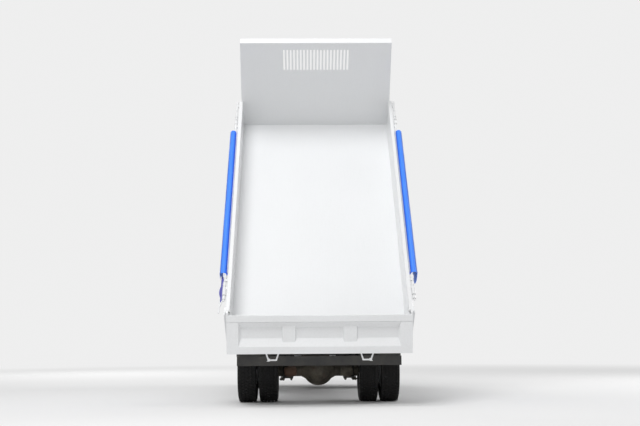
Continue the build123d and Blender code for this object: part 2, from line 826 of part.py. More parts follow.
def bed_front_wall():
    """The tall front wall with its window of slots, its posts and its cap."""
    low, top = cross_low, floor_z + wall_h
    back = bed_front + wall_t
    outline = [(-bed_out, low), (-bed_out, bed_rail), (-wall_rail_half, bed_rail), (-wall_top_half, top),
               (wall_top_half, top), (wall_rail_half, bed_rail), (bed_out, bed_rail), (bed_out, low)]
    part = section(outline, bed_front, back)
    for x in wall_posts:
        half = wall_post_w / 2
        part += upright([(x - half, bed_front), (x - half, back), (x - half + wall_post_slant, bed_front
                        + wall_post_depth), (x + half - wall_post_slant, bed_front + wall_post_depth),
                        (x + half, back), (x + half, bed_front)], low, top - 20)
    part += side_plate([(bed_front, top - wall_cap_h), (bed_front, top), (bed_front + wall_cap, top),
                        (bed_front + wall_cap, top - 20), (bed_front + wall_post_depth + 8, top - wall_cap_h)],
                       -wall_top_half, wall_top_half)
    for z in (floor_z + slot_low - 60, floor_z + slot_high + 30):
        part += block(wall_posts[1], wall_posts[2], back, back + 30, z, z + 30)
    for i in range(slot_count):
        x = (i - (slot_count - 1) / 2) * slot_pitch
        part -= block(x - slot_w / 2, x + slot_w / 2, bed_front - 1, back + 1,
                      floor_z + slot_low, floor_z + slot_high)
    return part


def side_cover():
    """The folded side cover that hangs outside the right side."""
    top = bed_rail + cover_lift
    x0 = bed_out + seat_gap
    part = block(x0, x0 + cover_w, cover_rear, cover_front, top - cover_h, top)
    return fillet(part.edges().filter_by(Axis.Y), 30)


def cover_gear():
    """Springs, knuckles and brackets at both ends of the right side cover."""
    x, z = bed_out + gear_x, bed_rail - gear_drop
    # Distance from the cover's end, radius
    rear_bar = [(0, 12), (36, 12), (36, 21), (70, 21), (82, 15), (124, 15), (124, 10), (142, 10), (142, 18),
                (204, 18), (204, 12), (216, 12), (216, 19), (262, 24), (350, 24), (350, 12), (370, 12), (370, 21),
                (415, 21), (415, 9), (gear_rear_len, 9)]
    front_bar = [(0, 12), (60, 12), (84, 20), (150, 20), (150, 15), (166, 15), (166, 22), (240, 22), (240, 10),
                 (268, 10), (268, 20), (300, 20), (300, 13), (324, 13), (324, 21), (350, 21), (436, 14), (450, 14),
                 (450, 11), (470, 11), (470, 17), (gear_front_len, 17)]
    kids = []
    for end, step, bar, feet in ((cover_rear - seat_gap, -1, rear_bar, (88, 222)),
                                 (cover_front + seat_gap, 1, front_bar, (96, 560))):
        points = [(end, 0)] + [(end + step * d, r) for d, r in bar] + [(end + step * bar[-1][0], 0)]
        part = turned_y(points, x, z)
        for d in feet:
            y0, y1 = sorted((end + step * d, end + step * (d + 36)))
            part += block(bed_out, x, y0, y1, z - 12, z + 12)
        kids.append(part)
    return Compound(children=kids)


def cover_arm():
    """The pipe that goes on from the left cover's outer edge, with its bent leg from the gear."""
    z, x, r = bed_rail - gear_drop - 46, -(bed_out + gear_x), 9
    y = cover_rear - seat_gap
    path = FilletPolyline((x - 4, y, z), (x - 4, y - 40, z), (x - 20, y - 110, z), (x - 20, y - 390, z),
                          (x - 57, y - 500, z), radius=20)
    part = rod_y(r, y - arm_len, y, x - 58, z) + sweep((path ^ 0) * Circle(r), path=path)
    part += rod_y(r + 4, y - 34, y - 14, x - 4, z)
    return part + block(x - 14, x + 6, y - 34, y - 14, z, bed_rail - gear_drop - 11)


def gate_claws():
    """The claws under the floor's rear edge that hold the gate's loops."""
    rear = floor_rear
    hook = side_plate([(rear, cross_low), (rear + 50, cross_low), (rear + 50, cross_low - 60),
                       (rear + 34, cross_low - 84), (rear + 12, cross_low - 90), (rear + 12, cross_low - 62),
                       (rear + 22, cross_low - 40), (rear + 8, cross_low - 20)], loop_x - 12, loop_x + 12)
    return both(hook)


def tailgate():
    """The gate as it hangs closed: recessed panel with hat ribs, arms to its pins, and striker loops."""
    half = gate_half
    part = block(-half, half, gate_rear, gate_front, gate_low, gate_top)
    x0, x1 = -half + end_w, half - end_w
    z0, z1 = gate_low + low_band, gate_top - top_band
    mouth = Plane.XZ * make_face(Polyline((x0, z0), (x1, z0), (x1, z1), (x0, z1), close=True))
    bottom = Plane.XZ * make_face(Polyline(
        (x0 + side_bevel, z0 + low_bevel), (x1 - side_bevel, z0 + low_bevel),
        (x1 - side_bevel, z1 - top_bevel), (x0 + side_bevel, z1 - top_bevel), close=True))
    part -= loft([(Pos(0, gate_rear, 0) * mouth).face(), (Pos(0, gate_rear + recess_depth, 0) * bottom).face()],
                 ruled=True)
    part -= block(-half - 1, half + 1, gate_rear - 1, gate_rear + band_groove, z1, z1 + band_groove)
    for side in (-1, 1):
        x = side * rib_x
        face_y, root_y = gate_rear + rib_depth, gate_rear + recess_depth + 4
        part += upright([(x - rib_w / 2, root_y), (x - rib_w / 2 + rib_slant, face_y),
                         (x + rib_w / 2 - rib_slant, face_y), (x + rib_w / 2, root_y)], z0 + 4, z1 - 4)
    eye_low = gate_pin_z - gate_eye_r
    for side in (-1, 1):
        x0, x1 = sorted((side * half, side * (half - gate_arm_w)))
        part += side_plate([(gate_pin_y, gate_pin_z + gate_eye_r), (gate_rear + 25, gate_pin_z + gate_eye_r),
                            (gate_rear, gate_pin_z), (gate_rear, gate_top - 20), (gate_front, gate_top - 20),
                            (gate_front, eye_low + 4), (gate_pin_y, eye_low)], x0, x1)
        part += rod_x(gate_eye_r, x0, x1, gate_pin_y, gate_pin_z)
        part -= rod_x(gate_pin_r + running_gap, x0 - 1, x1 + 1, gate_pin_y, gate_pin_z)
    for side in (-1, 1):
        part += striker_loop(side)
    return part


def striker_loop(side):
    """A loop below the gate that a claw holds, with the lump at its outer lower corner."""
    x, y0 = side * loop_x, gate_front - gate_t / 2
    tw, lw = loop_top_w / 2, loop_low_w / 2
    low = gate_low - loop_h
    ring = section([(x - tw, gate_low + 2), (x + tw, gate_low + 2), (x + lw, low), (x - lw, low)],
                   y0, y0 + loop_rod)
    ring -= section([(x - tw + loop_rod, gate_low + 4), (x + tw - loop_rod, gate_low + 4),
                     (x + lw - loop_rod, low + loop_rod), (x - lw + loop_rod, low + loop_rod)],
                    y0 - 1, y0 + loop_rod + 1)
    a, b = sorted((x + side * (lw + 4), x + side * (lw + 4 - loop_lump)))
    return ring + block(a, b, y0 - 5, y0 + loop_rod + 5, low - 4, low + 24)


closed_gate = tailgate()
gate_mass_point = closed_gate.center(CenterOf.MASS)
gate_lean_deg = degrees(atan2(gate_pin_y - gate_mass_point.Y, gate_pin_z - gate_mass_point.Z))
gate_open_deg = bed_tilt_deg - gate_lean_deg


def hanging_gate():
    """The gate turned about its pins until its centre of mass hangs below them."""
    return raised(Pos(0, gate_pin_y, gate_pin_z) * Rot(-gate_open_deg, 0, 0)
                  * Pos(0, -gate_pin_y, -gate_pin_z) * closed_gate)


# Hoist, laid out along Z from its foot and then leaned to its place

hoist_top_y, hoist_top_z = raised_point(hoist_bed_y, hoist_bed_z)
hoist_long = hypot(hoist_top_y - hoist_base_y, hoist_top_z - hoist_base_z)
hoist_lean_deg = degrees(atan2(hoist_top_z - hoist_base_z, hoist_top_y - hoist_base_y))
hoist_low_y, hoist_low_z = hinge_y + hoist_bed_y, hinge_z + hoist_bed_z
hoist_short = hypot(hoist_low_y - hoist_base_y, hoist_low_z - hoist_base_z)
hoist_low_deg = degrees(atan2(hoist_low_z - hoist_base_z, hoist_low_y - hoist_base_y))


def hoisted(part):
    """A piece of the cylinder, from upright at the origin to its place."""
    return Pos(0, hoist_base_y, hoist_base_z) * Rot(hoist_lean_deg - 90, 0, 0) * part


def hoist_barrel():
    """The cylinder with its foot eye, its end rings and its gland."""
    low = foot_eye_r + 24
    part = rod_z(barrel_r, low, barrel_len, 0, 0)
    for z in (low, barrel_len - barrel_gland - 20, barrel_len - 40):
        part += rod_z(barrel_r + barrel_ring, z, z + 40, 0, 0)
    part -= rod_z(barrel_bore, low + 20, barrel_len - barrel_gland, 0, 0)
    part -= rod_z(rod_r + running_gap, barrel_len - barrel_gland - 1, barrel_len + 1, 0, 0)
    part += rod_x(foot_eye_r, -foot_w / 2, foot_w / 2, 0, 0) + block(-50, 50, -45, 45, 0, low + 10)
    return hoisted(part - rod_x(foot_pin_r + running_gap, -foot_w / 2 - 1, foot_w / 2 + 1, 0, 0))


def hoist_rod():
    """The rod with its piston in the barrel, and its eye with the pin in the bed's clevis."""
    top = hoist_long
    part = rod_z(rod_r, top - rod_len, top - 30, 0, 0)
    part += rod_z(barrel_bore - running_gap, top - rod_len, top - rod_len + piston_h, 0, 0)
    part += rod_z(rod_r + 14, top - eye_r - 40, top - eye_r + 20, 0, 0)
    part += rod_x(eye_r, -eye_w / 2, eye_w / 2, 0, top)
    part += rod_x(eye_pin_r, -eye_w / 2 - move_gap + 1, eye_w / 2 + move_gap - 1, 0, top)
    return hoisted(part)


# Cab


def cab_plan(z, half, rear, front):
    """A level section of the cab: straight back and sides, bowed front, round corners."""
    side_x, nose_y = half - cab_corner, front - cab_bow
    nose_r = (side_x ** 2 + cab_bow ** 2) / (2 * cab_bow)
    turn = asin(side_x / nose_r)
    r = cab_corner / (1 - sin(turn))
    mid_x, mid_y = half - r, nose_y - r * cos(turn)
    corner = ((mid_x + r * cos(pi / 4 - turn / 2)), (mid_y + r * sin(pi / 4 - turn / 2)))
    back = cab_rear_corner
    knee = back * (1 - sqrt(0.5))
    right = [ThreePointArc((side_x, nose_y), corner, (half, mid_y)), Line((half, mid_y), (half, rear + back)),
             ThreePointArc((half, rear + back), (half - knee, rear + knee), (half - back, rear))]
    edges = [ThreePointArc((-side_x, nose_y), (0, front), (side_x, nose_y)), *right,
             Line((half - back, rear), (-half + back, rear)),
             *[mirror(edge, about=Plane.YZ) for edge in reversed(right)]]
    return (Pos(0, 0, z) * make_face(edges)).face()


def cab_body(inset, low):
    """The cab's outer form moved in by inset, from a level near its floor to its roof."""
    # Height, half width, rear, front
    rows = [(low, cab_half, cab_rear, cab_front),
            (waist_z, cab_half, cab_rear, cab_front),
            (belt_z, cab_half, cab_rear, cab_front - 40),
            (cab_roof - 120, cab_half - 40, cab_rear, cab_front - screen_lean),
            (cab_roof - inset, cab_half - 115, cab_rear + 70, cab_front - screen_lean - 130)]
    plans = [cab_plan(z, half - inset, rear + inset, front - inset) for z, half, rear, front in rows]
    return loft(plans, ruled=True)


def cab_skin(inset, depth):
    """The layer of the cab's outer form between two depths."""
    return cab_body(inset, cab_skirt) - cab_body(depth, cab_skirt - 1)


def door_outline(grow):
    """The door's side outline, grown by a gap."""
    return [(door_rear - grow, cab_floor + 40 - grow), (wheelbase + 270, cab_floor - grow),
            (wheelbase + 400 - grow * 0.5, cab_skirt + 20 - grow), (door_front + grow, cab_skirt + 20 - grow),
            (door_front + grow, belt_z - 20), (door_front - 220 + grow * 1.2, door_top + grow),
            (door_rear - grow, door_top + grow)]


def door_window():
    """The door window's outline, which leaves the frame of the door about it."""
    return [(door_rear + 90, belt_z), (door_front - 110, belt_z), (door_front - 290, door_top - 90),
            (door_rear + 90, door_top - 90)]


def screen_opening():
    """What the windscreen fills, cut right through the cab's front."""
    part = block(-cab_half + screen_margin, cab_half - screen_margin, cab_front - screen_lean - 200, cab_front + 1,
                 belt_z + 60, cab_roof - 150)
    return fillet(part.edges().filter_by(Axis.Y), 80)


def rear_opening():
    """What the rear glass fills."""
    part = block(-rear_window_half, rear_window_half, cab_rear - 1, cab_rear + cab_wall + 1, belt_z + 100,
                 cab_roof - 350)
    return fillet(part.edges().filter_by(Axis.Y), 60)


def tunnel(grow, rear, front):
    """The engine's tunnel through the floor, between two planes, grown by its wall."""
    half, top = tunnel_half + grow, tunnel_top - tunnel_wall + grow
    low = cab_floor - 1 + grow / tunnel_wall
    return section([(-half, low), (-half, top - 60), (-half + 60, top), (half - 60, top), (half, top - 60),
                    (half, low)], rear, front)


def tilt_lug():
    """A lug under the cab's front that turns on the tilt pin."""
    x0, x1 = 240, 290
    part = side_plate([(tilt_y - 210, cab_floor + 5), (tilt_y - 160, cab_floor + 5), (tilt_y + 12, tilt_z),
                       (tilt_y - 25, tilt_z)], x0, x1)
    part += rod_x(32, x0, x1, tilt_y, tilt_z)
    return part - rod_x(tilt_pin_r + running_gap, x0 - 1, x1 + 1, tilt_y, tilt_z)


def cab_shell():
    """Floor, tunnel, walls and roof in one, with the doors' and windows' openings cut."""
    part = cab_body(0, cab_skirt) - cab_body(cab_wall, cab_floor + cab_wall)
    below = cab_body(cab_wall, cab_skirt - 1)
    part -= below & block(-cab_half, cab_half, cab_rear, cab_front, cab_skirt - 1, cab_floor)
    part -= block(-cab_half - 1, cab_half + 1, cab_rear - 1, wheelbase + 230, cab_skirt - 1, cab_floor)
    part += tunnel(tunnel_wall, cab_rear, tunnel_front)
    part -= tunnel(0, cab_rear - 1, tunnel_front - tunnel_wall)
    part -= rod_x(arch_r, -cab_half - 1, cab_half + 1, wheelbase, axle_z)
    part -= (cab_skin(-2, cab_wall + move_gap)
             & side_plate(door_outline(door_gap), -cab_half - 5, cab_half + 5))
    part -= screen_opening()
    part -= rear_opening()
    part -= (cab_skin(-2, grille_depth)
             & block(-grille_half, grille_half, wheelbase, cab_front + 5, grille_low, grille_high))
    pitch = (grille_high - grille_low) / grille_slats
    for i in range(grille_slats):
        z = grille_low + (i + 0.5) * pitch
        part += (cab_skin(2, grille_depth + 2)
                 & block(-grille_half - 1, grille_half + 1, wheelbase, cab_front, z - 12, z + 12))
    for side in (-1, 1):
        for z in hinge_heights:
            x0, x1 = sorted((side * (hinge_x - 26), side * (cab_half + 1)))
            part -= block(x0, x1, door_front, hinge_front + 22, z - 45, z + 45)
            part += rod_z(hinge_pin, z - 46, z + 46, side * hinge_x, hinge_front)
    return part + tilt_lug() + left_of(tilt_lug())


def windscreen():
    return cab_skin(glass_depth, glass_depth + glass_t) & screen_opening()


def rear_glass():
    y = cab_rear + glass_depth
    return rear_opening() & block(-cab_half, cab_half, y, y + glass_t, cab_floor, cab_roof)


def door():
    """The right door: a skin of the cab's own form with its window cut and two hinge knuckles."""
    half = block(0, cab_half + 1, cab_rear, cab_front, 0, cab_roof)
    part = cab_skin(0, door_t) & side_plate(door_outline(0), -cab_half, cab_half) & half
    for z in hinge_heights:
        part += block(hinge_x - 8, hinge_x + 8, door_front - 1, hinge_front, z - 25, z + 25)
        part += rod_z(hinge_knuckle_r, z - 25, z + 25, hinge_x, hinge_front)
        part -= rod_z(hinge_pin + running_gap, z - 26, z + 26, hinge_x, hinge_front)
    return part - side_plate(door_window(), cab_half - 300, cab_half + 1)


def door_glass():
    skin = cab_skin(glass_depth + 6, glass_depth + 6 + glass_t)
    return skin & side_plate(door_window(), cab_half - 300, cab_half + 1)


def dashboard():
    """The dashboard with its cowl over the instruments, against the cab's front wall."""
    low, top, depth = cab_floor + 280, cab_floor + 500, cab_wall + seat_gap
    # Height, front of the cab's outer form there
    rows = [(low, cab_front), (waist_z, cab_front), (top, cab_front - 40 * (top - waist_z) / (belt_z - waist_z))]
    part = loft([cab_plan(z, cab_half - depth, tunnel_front - 60, front - depth) for z, front in rows], ruled=True)
    part -= side_plate([(tunnel_front - 100, low - 1), (tunnel_front - 40, low - 1), (tunnel_front, top - 40),
                        (tunnel_front + 50, top + 1), (tunnel_front - 100, top + 1)], -cab_half, cab_half)
    for side in (-1, 1):
        x0, x1 = sorted((side * (cab_half - cab_wall - 10), side * (cab_half + 1)))
        part -= block(x0, x1, cab_rear, cab_front, low - 1, top + 1)
    return part + side_plate([(tunnel_front - 30, top - 60), (tunnel_front + 110, top - 60),
                              (tunnel_front + 110, top + 20), (tunnel_front + 60, top + 50),
                              (tunnel_front, top + 40)], seat_x - 210, seat_x + 210)


seat_x = cab_half - cab_wall - 85 - seat_w / 2


def steering_wheel():
    """The steering wheel with its spokes and column, on the right."""
    column_r, lean, height = 16, 30, cab_floor + 550
    drop = height - cab_floor - cab_wall - seat_gap - column_r * sin(radians(lean))
    part = Torus(wheel_rim_r, 14) + rod_z(column_r, -drop / cos(radians(lean)), 0, 0, 0)
    part += block(-wheel_rim_r, wheel_rim_r, -15, 15, -8, 8) + block(-15, 15, -wheel_rim_r, 0, -8, 8)
    part += rod_z(60, -14, 14, 0, 0)
    return Pos(seat_x, tunnel_front - 230, height) * Rot(lean, 0, 0) * part


def seat(x):
    """A seat on its base, with a back and a head rest."""
    half, y0, floor = seat_w / 2, cab_rear + 130, cab_floor + cab_wall
    base = block(x - half + 40, x + half - 40, y0 + 100, y0 + 540, floor, floor + 200)
    cushion = block(x - half, x + half, y0 + 60, y0 + 580, floor + 200, floor + 380)
    back = block(x - half + 10, x + half - 10, y0, y0 + 120, floor + 300, floor + 830)
    head = block(x - 130, x + 130, y0 + 20, y0 + 110, floor + 850, floor + 1000)
    post = block(x - 70, x + 70, y0 + 50, y0 + 70, floor + 800, floor + 900)
    part = fillet(cushion.edges(), 28) + fillet(back.edges(), 28) + fillet(head.edges(), 28)
    return part + base + post


def mirror_head():
    """A mirror on its two arms from the right front corner of the cab."""
    x0, y, arm_r = cab_half + 30, cab_front - 185, 10
    head = block(x0, x0 + 140, y - 25, y + 25, belt_z, belt_z + 380)
    head = fillet(head.edges().filter_by(Axis.Y), 22)
    part = head + rod_z(arm_r, belt_z - 90, belt_z + 30, x0 + 30, y)
    for z in (belt_z - 80, belt_z + 60):
        part += rod_x(arm_r, cab_half - 200, x0 + 30, y, z)
    return part - cab_body(-seat_gap, cab_skirt)


def bumper_body(inset):
    """The bumper's outer form moved in by inset, with its chin drawn back."""
    # Height, half width, front
    rows = [(bumper_low, cab_half - 12, bumper_front - bumper_chin), (lamp_low - 20, cab_half, bumper_front),
            (bumper_top, cab_half, bumper_front)]
    rows = rows if inset <= 0 else [(bumper_low - 1, *rows[0][1:]), rows[1], (bumper_top + 1, *rows[2][1:])]
    return loft([cab_plan(z, half - inset, wheelbase + 400 + inset, front - inset) for z, half, front in rows],
                ruled=True)


def lamp_zone(grow):
    """What the right headlamp fills, grown by its gap."""
    return block(lamp_in - grow, lamp_out + grow, bumper_front - bumper_len, bumper_front + 1, lamp_low - grow,
                 lamp_high + grow)


def front_bumper():
    """The bumper with its lamp pockets, its brackets, and the block that holds the towing pin."""
    ahead = block(-cab_half - 1, cab_half + 1, bumper_front - bumper_len, bumper_front + 1, 0, cab_roof)
    part = (bumper_body(0) - bumper_body(bumper_wall)) & ahead
    pocket = lamp_zone(2) - bumper_body(bumper_wall - 12)
    part -= pocket
    part -= left_of(pocket)
    part -= block(-300, 300, wheelbase, bumper_front + 1, lamp_high + 20, bumper_top - 20) - bumper_body(16)
    for side in (-1, 1):
        x0, x1 = sorted((side * 340, side * rail_web))
        part += block(x0, x1, rail_front, bumper_front - 30, rail_low + rail_t, bumper_top - 20)
    top = tow_front_z + tow_front_len
    holder = block(-tow_half, tow_half, tow_front_y - tow_wall, bumper_front - 25, tow_front_z, top)
    return part + holder - rod_z(tow_r, tow_front_z - 1, top + 1, 0, tow_front_y)


def headlamps():
    lamp = (bumper_body(4) - bumper_body(bumper_wall - 12)) & lamp_zone(0)
    return both(lamp)


def tilt_pin():
    """The right pin that the cab tilts about, on its bracket inside the rail."""
    part = rod_x(tilt_pin_r, 234, 320, tilt_y, tilt_z)
    part += side_plate([(tilt_y - 90, tilt_z + 150), (tilt_y - 20, tilt_z + 150), (tilt_y + 35, tilt_z),
                        (tilt_y + 20, tilt_z - 35), (tilt_y - 35, tilt_z - 35)], 300, 320)
    return part + block(300, rail_web, tilt_y - 85, tilt_y - 25, tilt_z + 50, tilt_z + 150)


def cab_step():
    """Two treads in a frame below the right door."""
    y1 = door_front - 10
    y0 = y1 - step_len
    x0, low = cab_half - 315, bumper_low - 60
    part = block(rail_out, x0 + 20, y0, y1, low, low + 280)
    for z in (low, low + 240):
        part += block(x0, cab_half, y0, y1, z, z + 20)
        part += block(cab_half - 12, cab_half, y0, y1, z + 20, z + 32)
    return part


nodes = {
    "frame_rail_right": frame_rail(),
    "frame_rail_left": left_of(frame_rail()),
    "crossmembers": crossmembers(),
    "subframe": both(subframe()),
    "hinge_brackets": both(hinge_bracket()),
    "hoist_base": hoist_base(),
    "front_axle": front_axle(),
    "front_springs": both(front_spring()),
    "rear_axle": rear_axle(),
    "rear_springs": both(rear_spring()),
    "engine": engine(),
    "propshaft": propshaft(),
    "fuel_tank": left_of(fuel_tank()),
    "battery_box": battery_box(),
    "air_tanks": air_tanks(),
    "silencer": silencer(),
    "side_guards": both(side_guard()),
    "rear_fenders": both(rear_fender()),
    "rear_guard": rear_guard(),
    "tail_lamps": both(tail_lamp()),
    "front_bumper": front_bumper(),
    "headlamps": headlamps(),
    "tilt_pins": both(tilt_pin()),
    "cab_steps": both(cab_step()),
    "knuckle_right": knuckle(),
    "knuckle_left": left_of(knuckle()),
    "tyre_front_right": Pos(0, wheelbase, 0) * tyre(front_wheel_x),
    "tyre_front_left": Pos(0, wheelbase, 0) * tyre(-front_wheel_x),
    "rim_front_right": front_wheel(),
    "rim_front_left": left_of(front_wheel()),
    "tyres_rear_right": Compound(children=[tyre(dual_in), tyre(dual_out)]),
    "tyres_rear_left": Compound(children=[tyre(-dual_in), tyre(-dual_out)]),
    "rims_rear_right": rear_wheel(),
    "rims_rear_left": left_of(rear_wheel()),
    "bed_floor": raised(bed_floor()),
    "bed_sills": raised(both(bed_sill())),
    "bed_underframe": raised(bed_underframe()),
    "bed_side_right": raised(bed_side()),
    "bed_side_left": raised(left_of(bed_side())),
    "bed_front_wall": raised(bed_front_wall()),
    "side_cover_right": raised(side_cover()),
    "side_cover_left": raised(left_of(side_cover())),
    "cover_gear_right": raised(cover_gear()),
    "cover_gear_left": raised(Compound(children=[left_of(cover_gear()), cover_arm()])),
    "gate_claws": raised(gate_claws()),
    "tailgate": hanging_gate(),
    "hoist_barrel": hoist_barrel(),
    "hoist_rod": hoist_rod(),
    "cab_shell": cab_shell(),
    "windscreen": windscreen(),
    "rear_glass": rear_glass(),
    "dashboard": dashboard(),
    "steering_wheel": steering_wheel(),
    "seats": Compound(children=[seat(seat_x), seat(-seat_x)]),
    "mirrors": both(mirror_head()),
    "door_right": door(),
    "door_left": left_of(door()),
    "door_glass_right": door_glass(),
    "door_glass_left": left_of(door_glass()),
}

box = Compound(children=[Compound(part.solids()) for part in nodes.values()]).bounding_box()
shift_x = -(box.min.X + box.max.X) / 2
shift_y = -(box.min.Y + box.max.Y) / 2

os.makedirs("parts", exist_ok=True)
for name, part in nodes.items():
    export_step(Compound(children=list((Pos(shift_x, shift_y, 0) * part).solids())), f"parts/{name}.step")
print("shift", shift_x, shift_y, "box", box.size, "gate lean", gate_lean_deg)
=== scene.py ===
"""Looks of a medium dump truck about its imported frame: finishes, tyres, covers, trim and stage."""

import bpy
import json
from itertools import product
from math import atan2, cos, exp, pi, radians, sin, sqrt
from mathutils import Matrix, Vector
from mathutils.bvhtree import BVHTree


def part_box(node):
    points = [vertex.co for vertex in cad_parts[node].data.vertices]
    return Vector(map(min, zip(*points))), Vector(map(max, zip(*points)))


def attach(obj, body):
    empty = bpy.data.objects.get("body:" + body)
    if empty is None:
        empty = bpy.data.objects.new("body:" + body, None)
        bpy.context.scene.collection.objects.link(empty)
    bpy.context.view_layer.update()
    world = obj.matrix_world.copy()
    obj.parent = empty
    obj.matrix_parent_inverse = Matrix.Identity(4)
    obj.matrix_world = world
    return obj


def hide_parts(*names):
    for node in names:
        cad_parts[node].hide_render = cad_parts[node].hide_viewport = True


bl_info = {
    "name": "Dump truck dressing",
    "version": (1, 0, 0),
    "blender": (4, 5, 0),
    "location": "3D View > Sidebar > Truck",
    "description": "Finishes, tyres, folded covers and trim for a dump truck with a raised bed",
    "category": "Object",
}

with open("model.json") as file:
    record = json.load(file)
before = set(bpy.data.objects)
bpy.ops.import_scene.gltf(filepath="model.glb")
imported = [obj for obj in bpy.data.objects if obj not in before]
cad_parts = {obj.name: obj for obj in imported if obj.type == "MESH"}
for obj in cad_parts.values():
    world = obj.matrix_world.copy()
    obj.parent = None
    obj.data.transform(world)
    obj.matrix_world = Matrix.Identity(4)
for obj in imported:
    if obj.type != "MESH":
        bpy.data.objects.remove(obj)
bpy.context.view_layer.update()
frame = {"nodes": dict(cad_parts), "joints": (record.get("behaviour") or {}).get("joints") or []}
nodes = frame["nodes"]
joints = {joint["name"]: joint for joint in frame["joints"]}
SIDES = (("right", 1), ("left", -1))


# Axes of the tilted bodies


class Axes:
    """Axes turned about X, in which a tilted body's own pieces are level; the world's by default."""

    def __init__(self, origin=(0, 0, 0), turn=0.0):
        self.matrix = Matrix.Translation(origin) @ Matrix.Rotation(turn, 4, "X")
        self.inverse = self.matrix.inverted()

    def box(self, node):
        """The lowest and highest corners of a CAD node in these axes."""
        points = [self.inverse @ v.co for v in nodes[node].data.vertices]
        return [Vector([pick(p[i] for p in points) for i in range(3)]) for pick in (min, max)]


def joint_axes(name, turn):
    return Axes(joints[name]["pos_m"], turn)


bed_turn = -radians(joints["bed_tilt"]["range_deg"][0])
gate_turn = bed_turn + radians(joints["gate_swing"]["range_deg"][0])
slide = joints["hoist_rod_slide"]["axis"]
level = Axes()
bed = joint_axes("bed_tilt", bed_turn)
gate = joint_axes("gate_swing", gate_turn)
hoist = joint_axes("hoist_barrel_tilt", atan2(slide[2], slide[1]) - pi / 2)


# Sizes and colours that a user would change


def length(name, default, description, top=1.0):
    return bpy.props.FloatProperty(name=name, description=description, default=default, min=0.0, max=top,
                                   unit="LENGTH", subtype="DISTANCE")


def share(name, default, description, top=1.0):
    return bpy.props.FloatProperty(name=name, description=description, default=default, min=0.0, max=top,
                                   subtype="FACTOR")


def colour(name, default, description):
    return bpy.props.FloatVectorProperty(name=name, description=description, default=default, size=3, min=0.0,
                                         max=1.0, subtype="COLOR")


class TruckColours(bpy.types.PropertyGroup):
    """Colours of the truck's finishes, in linear light."""

    enamel: colour("Enamel", (0.80, 0.81, 0.82), "White enamel of the bed, gate and cab")
    chassis: colour("Chassis paint", (0.011, 0.0115, 0.0125), "Near-black paint of the frame")
    casting: colour("Castings", (0.035, 0.031, 0.022), "Dusty dark axle castings")
    wheel: colour("Wheels", (0.45, 0.46, 0.47), "Silver-grey paint of the rims")
    rubber: colour("Tyres", (0.0065, 0.0065, 0.007), "Tyre rubber")
    cover: colour("Covers", (0.030, 0.215, 0.92), "Blue sheet of the side covers")
    dust: colour("Dust", (0.26, 0.23, 0.18), "Dry dust that lies on the running gear")
    dirt: share("Dirt", 0.35, "How much dust and wear the finishes show")


class TruckTyres(bpy.types.PropertyGroup):
    """Tread of the tyres."""

    blocks: bpy.props.IntProperty(name="Blocks", description="Tread blocks round each rib", default=56,
                                  min=20, max=120)
    groove: length("Groove depth", 0.012, "Depth of the grooves between the ribs", 0.03)
    gap: length("Groove width", 0.010, "Width of the grooves round the tyre", 0.03)
    sipe: share("Sipe", 0.16, "Share of a block's length that is the cut before the next")


class TruckCovers(bpy.types.PropertyGroup):
    """Folded sheets outside the bed's rails."""

    cloth: length("Cloth", 0.0024, "Thickness of the sheet", 0.01)
    crease: share("Crease", 0.20, "Place of the dark crease between the folds, from the rail outwards")
    ripple: length("Ripple", 0.0065, "Height of the ripples along the folds", 0.02)


class TruckStage(bpy.types.PropertyGroup):
    """Camera and light."""

    eye: bpy.props.FloatVectorProperty(name="Camera", description="Place of the camera", size=3,
                                       default=(-0.186, -14.962, 0.817), subtype="TRANSLATION", unit="LENGTH")
    lens: bpy.props.FloatProperty(name="Lens", description="Focal length for a 36 mm sensor", default=54.3,
                                  min=20.0, max=200.0)
    pitch: bpy.props.FloatProperty(name="Pitch", description="Upward tilt of the camera",
                                   default=radians(7.5), subtype="ANGLE", unit="ROTATION")
    yaw: bpy.props.FloatProperty(name="Yaw", description="Turn of the camera to the truck's right",
                                 default=radians(0.97), subtype="ANGLE", unit="ROTATION")
    roll: bpy.props.FloatProperty(name="Roll", description="Roll of the camera", default=radians(-0.4),
                                  subtype="ANGLE", unit="ROTATION")
    key: bpy.props.FloatProperty(name="Key light", description="Strength of the light from the upper rear",
                                 default=1120.0, min=0.0, subtype="POWER", unit="POWER")
    fill: bpy.props.FloatProperty(name="Sky", description="Strength of the even light of the world",
                                  default=0.52, min=0.0, max=2.0)


GROUPS = {"truck_colours": TruckColours, "truck_tyres": TruckTyres, "truck_covers": TruckCovers,
          "truck_stage": TruckStage}


# Shapes: several simple solids that become one mesh


def quads(rows, sides, loop=False, around=True):
    """Faces between rows of points; loop joins the last row to the first, around a row's own ends."""
    faces = []
    for i in range(rows if loop else rows - 1):
        j = (i + 1) % rows
        for k in range(sides if around else sides - 1):
            m = (k + 1) % sides
            faces.append((i * sides + k, i * sides + m, j * sides + m, j * sides + k))
    return faces


def caps(rows, sides):
    """The faces that close such rows at both ends."""
    return [tuple(range(sides - 1, -1, -1)), tuple(range((rows - 1) * sides, rows * sides))]


def circle(count, radius, start=0.0):
    """The angle and both measures of points round a circle; start is a share of the step between them."""
    for i in range(count):
        angle = 2 * pi * (i + start) / count
        yield angle, radius * cos(angle), radius * sin(angle)


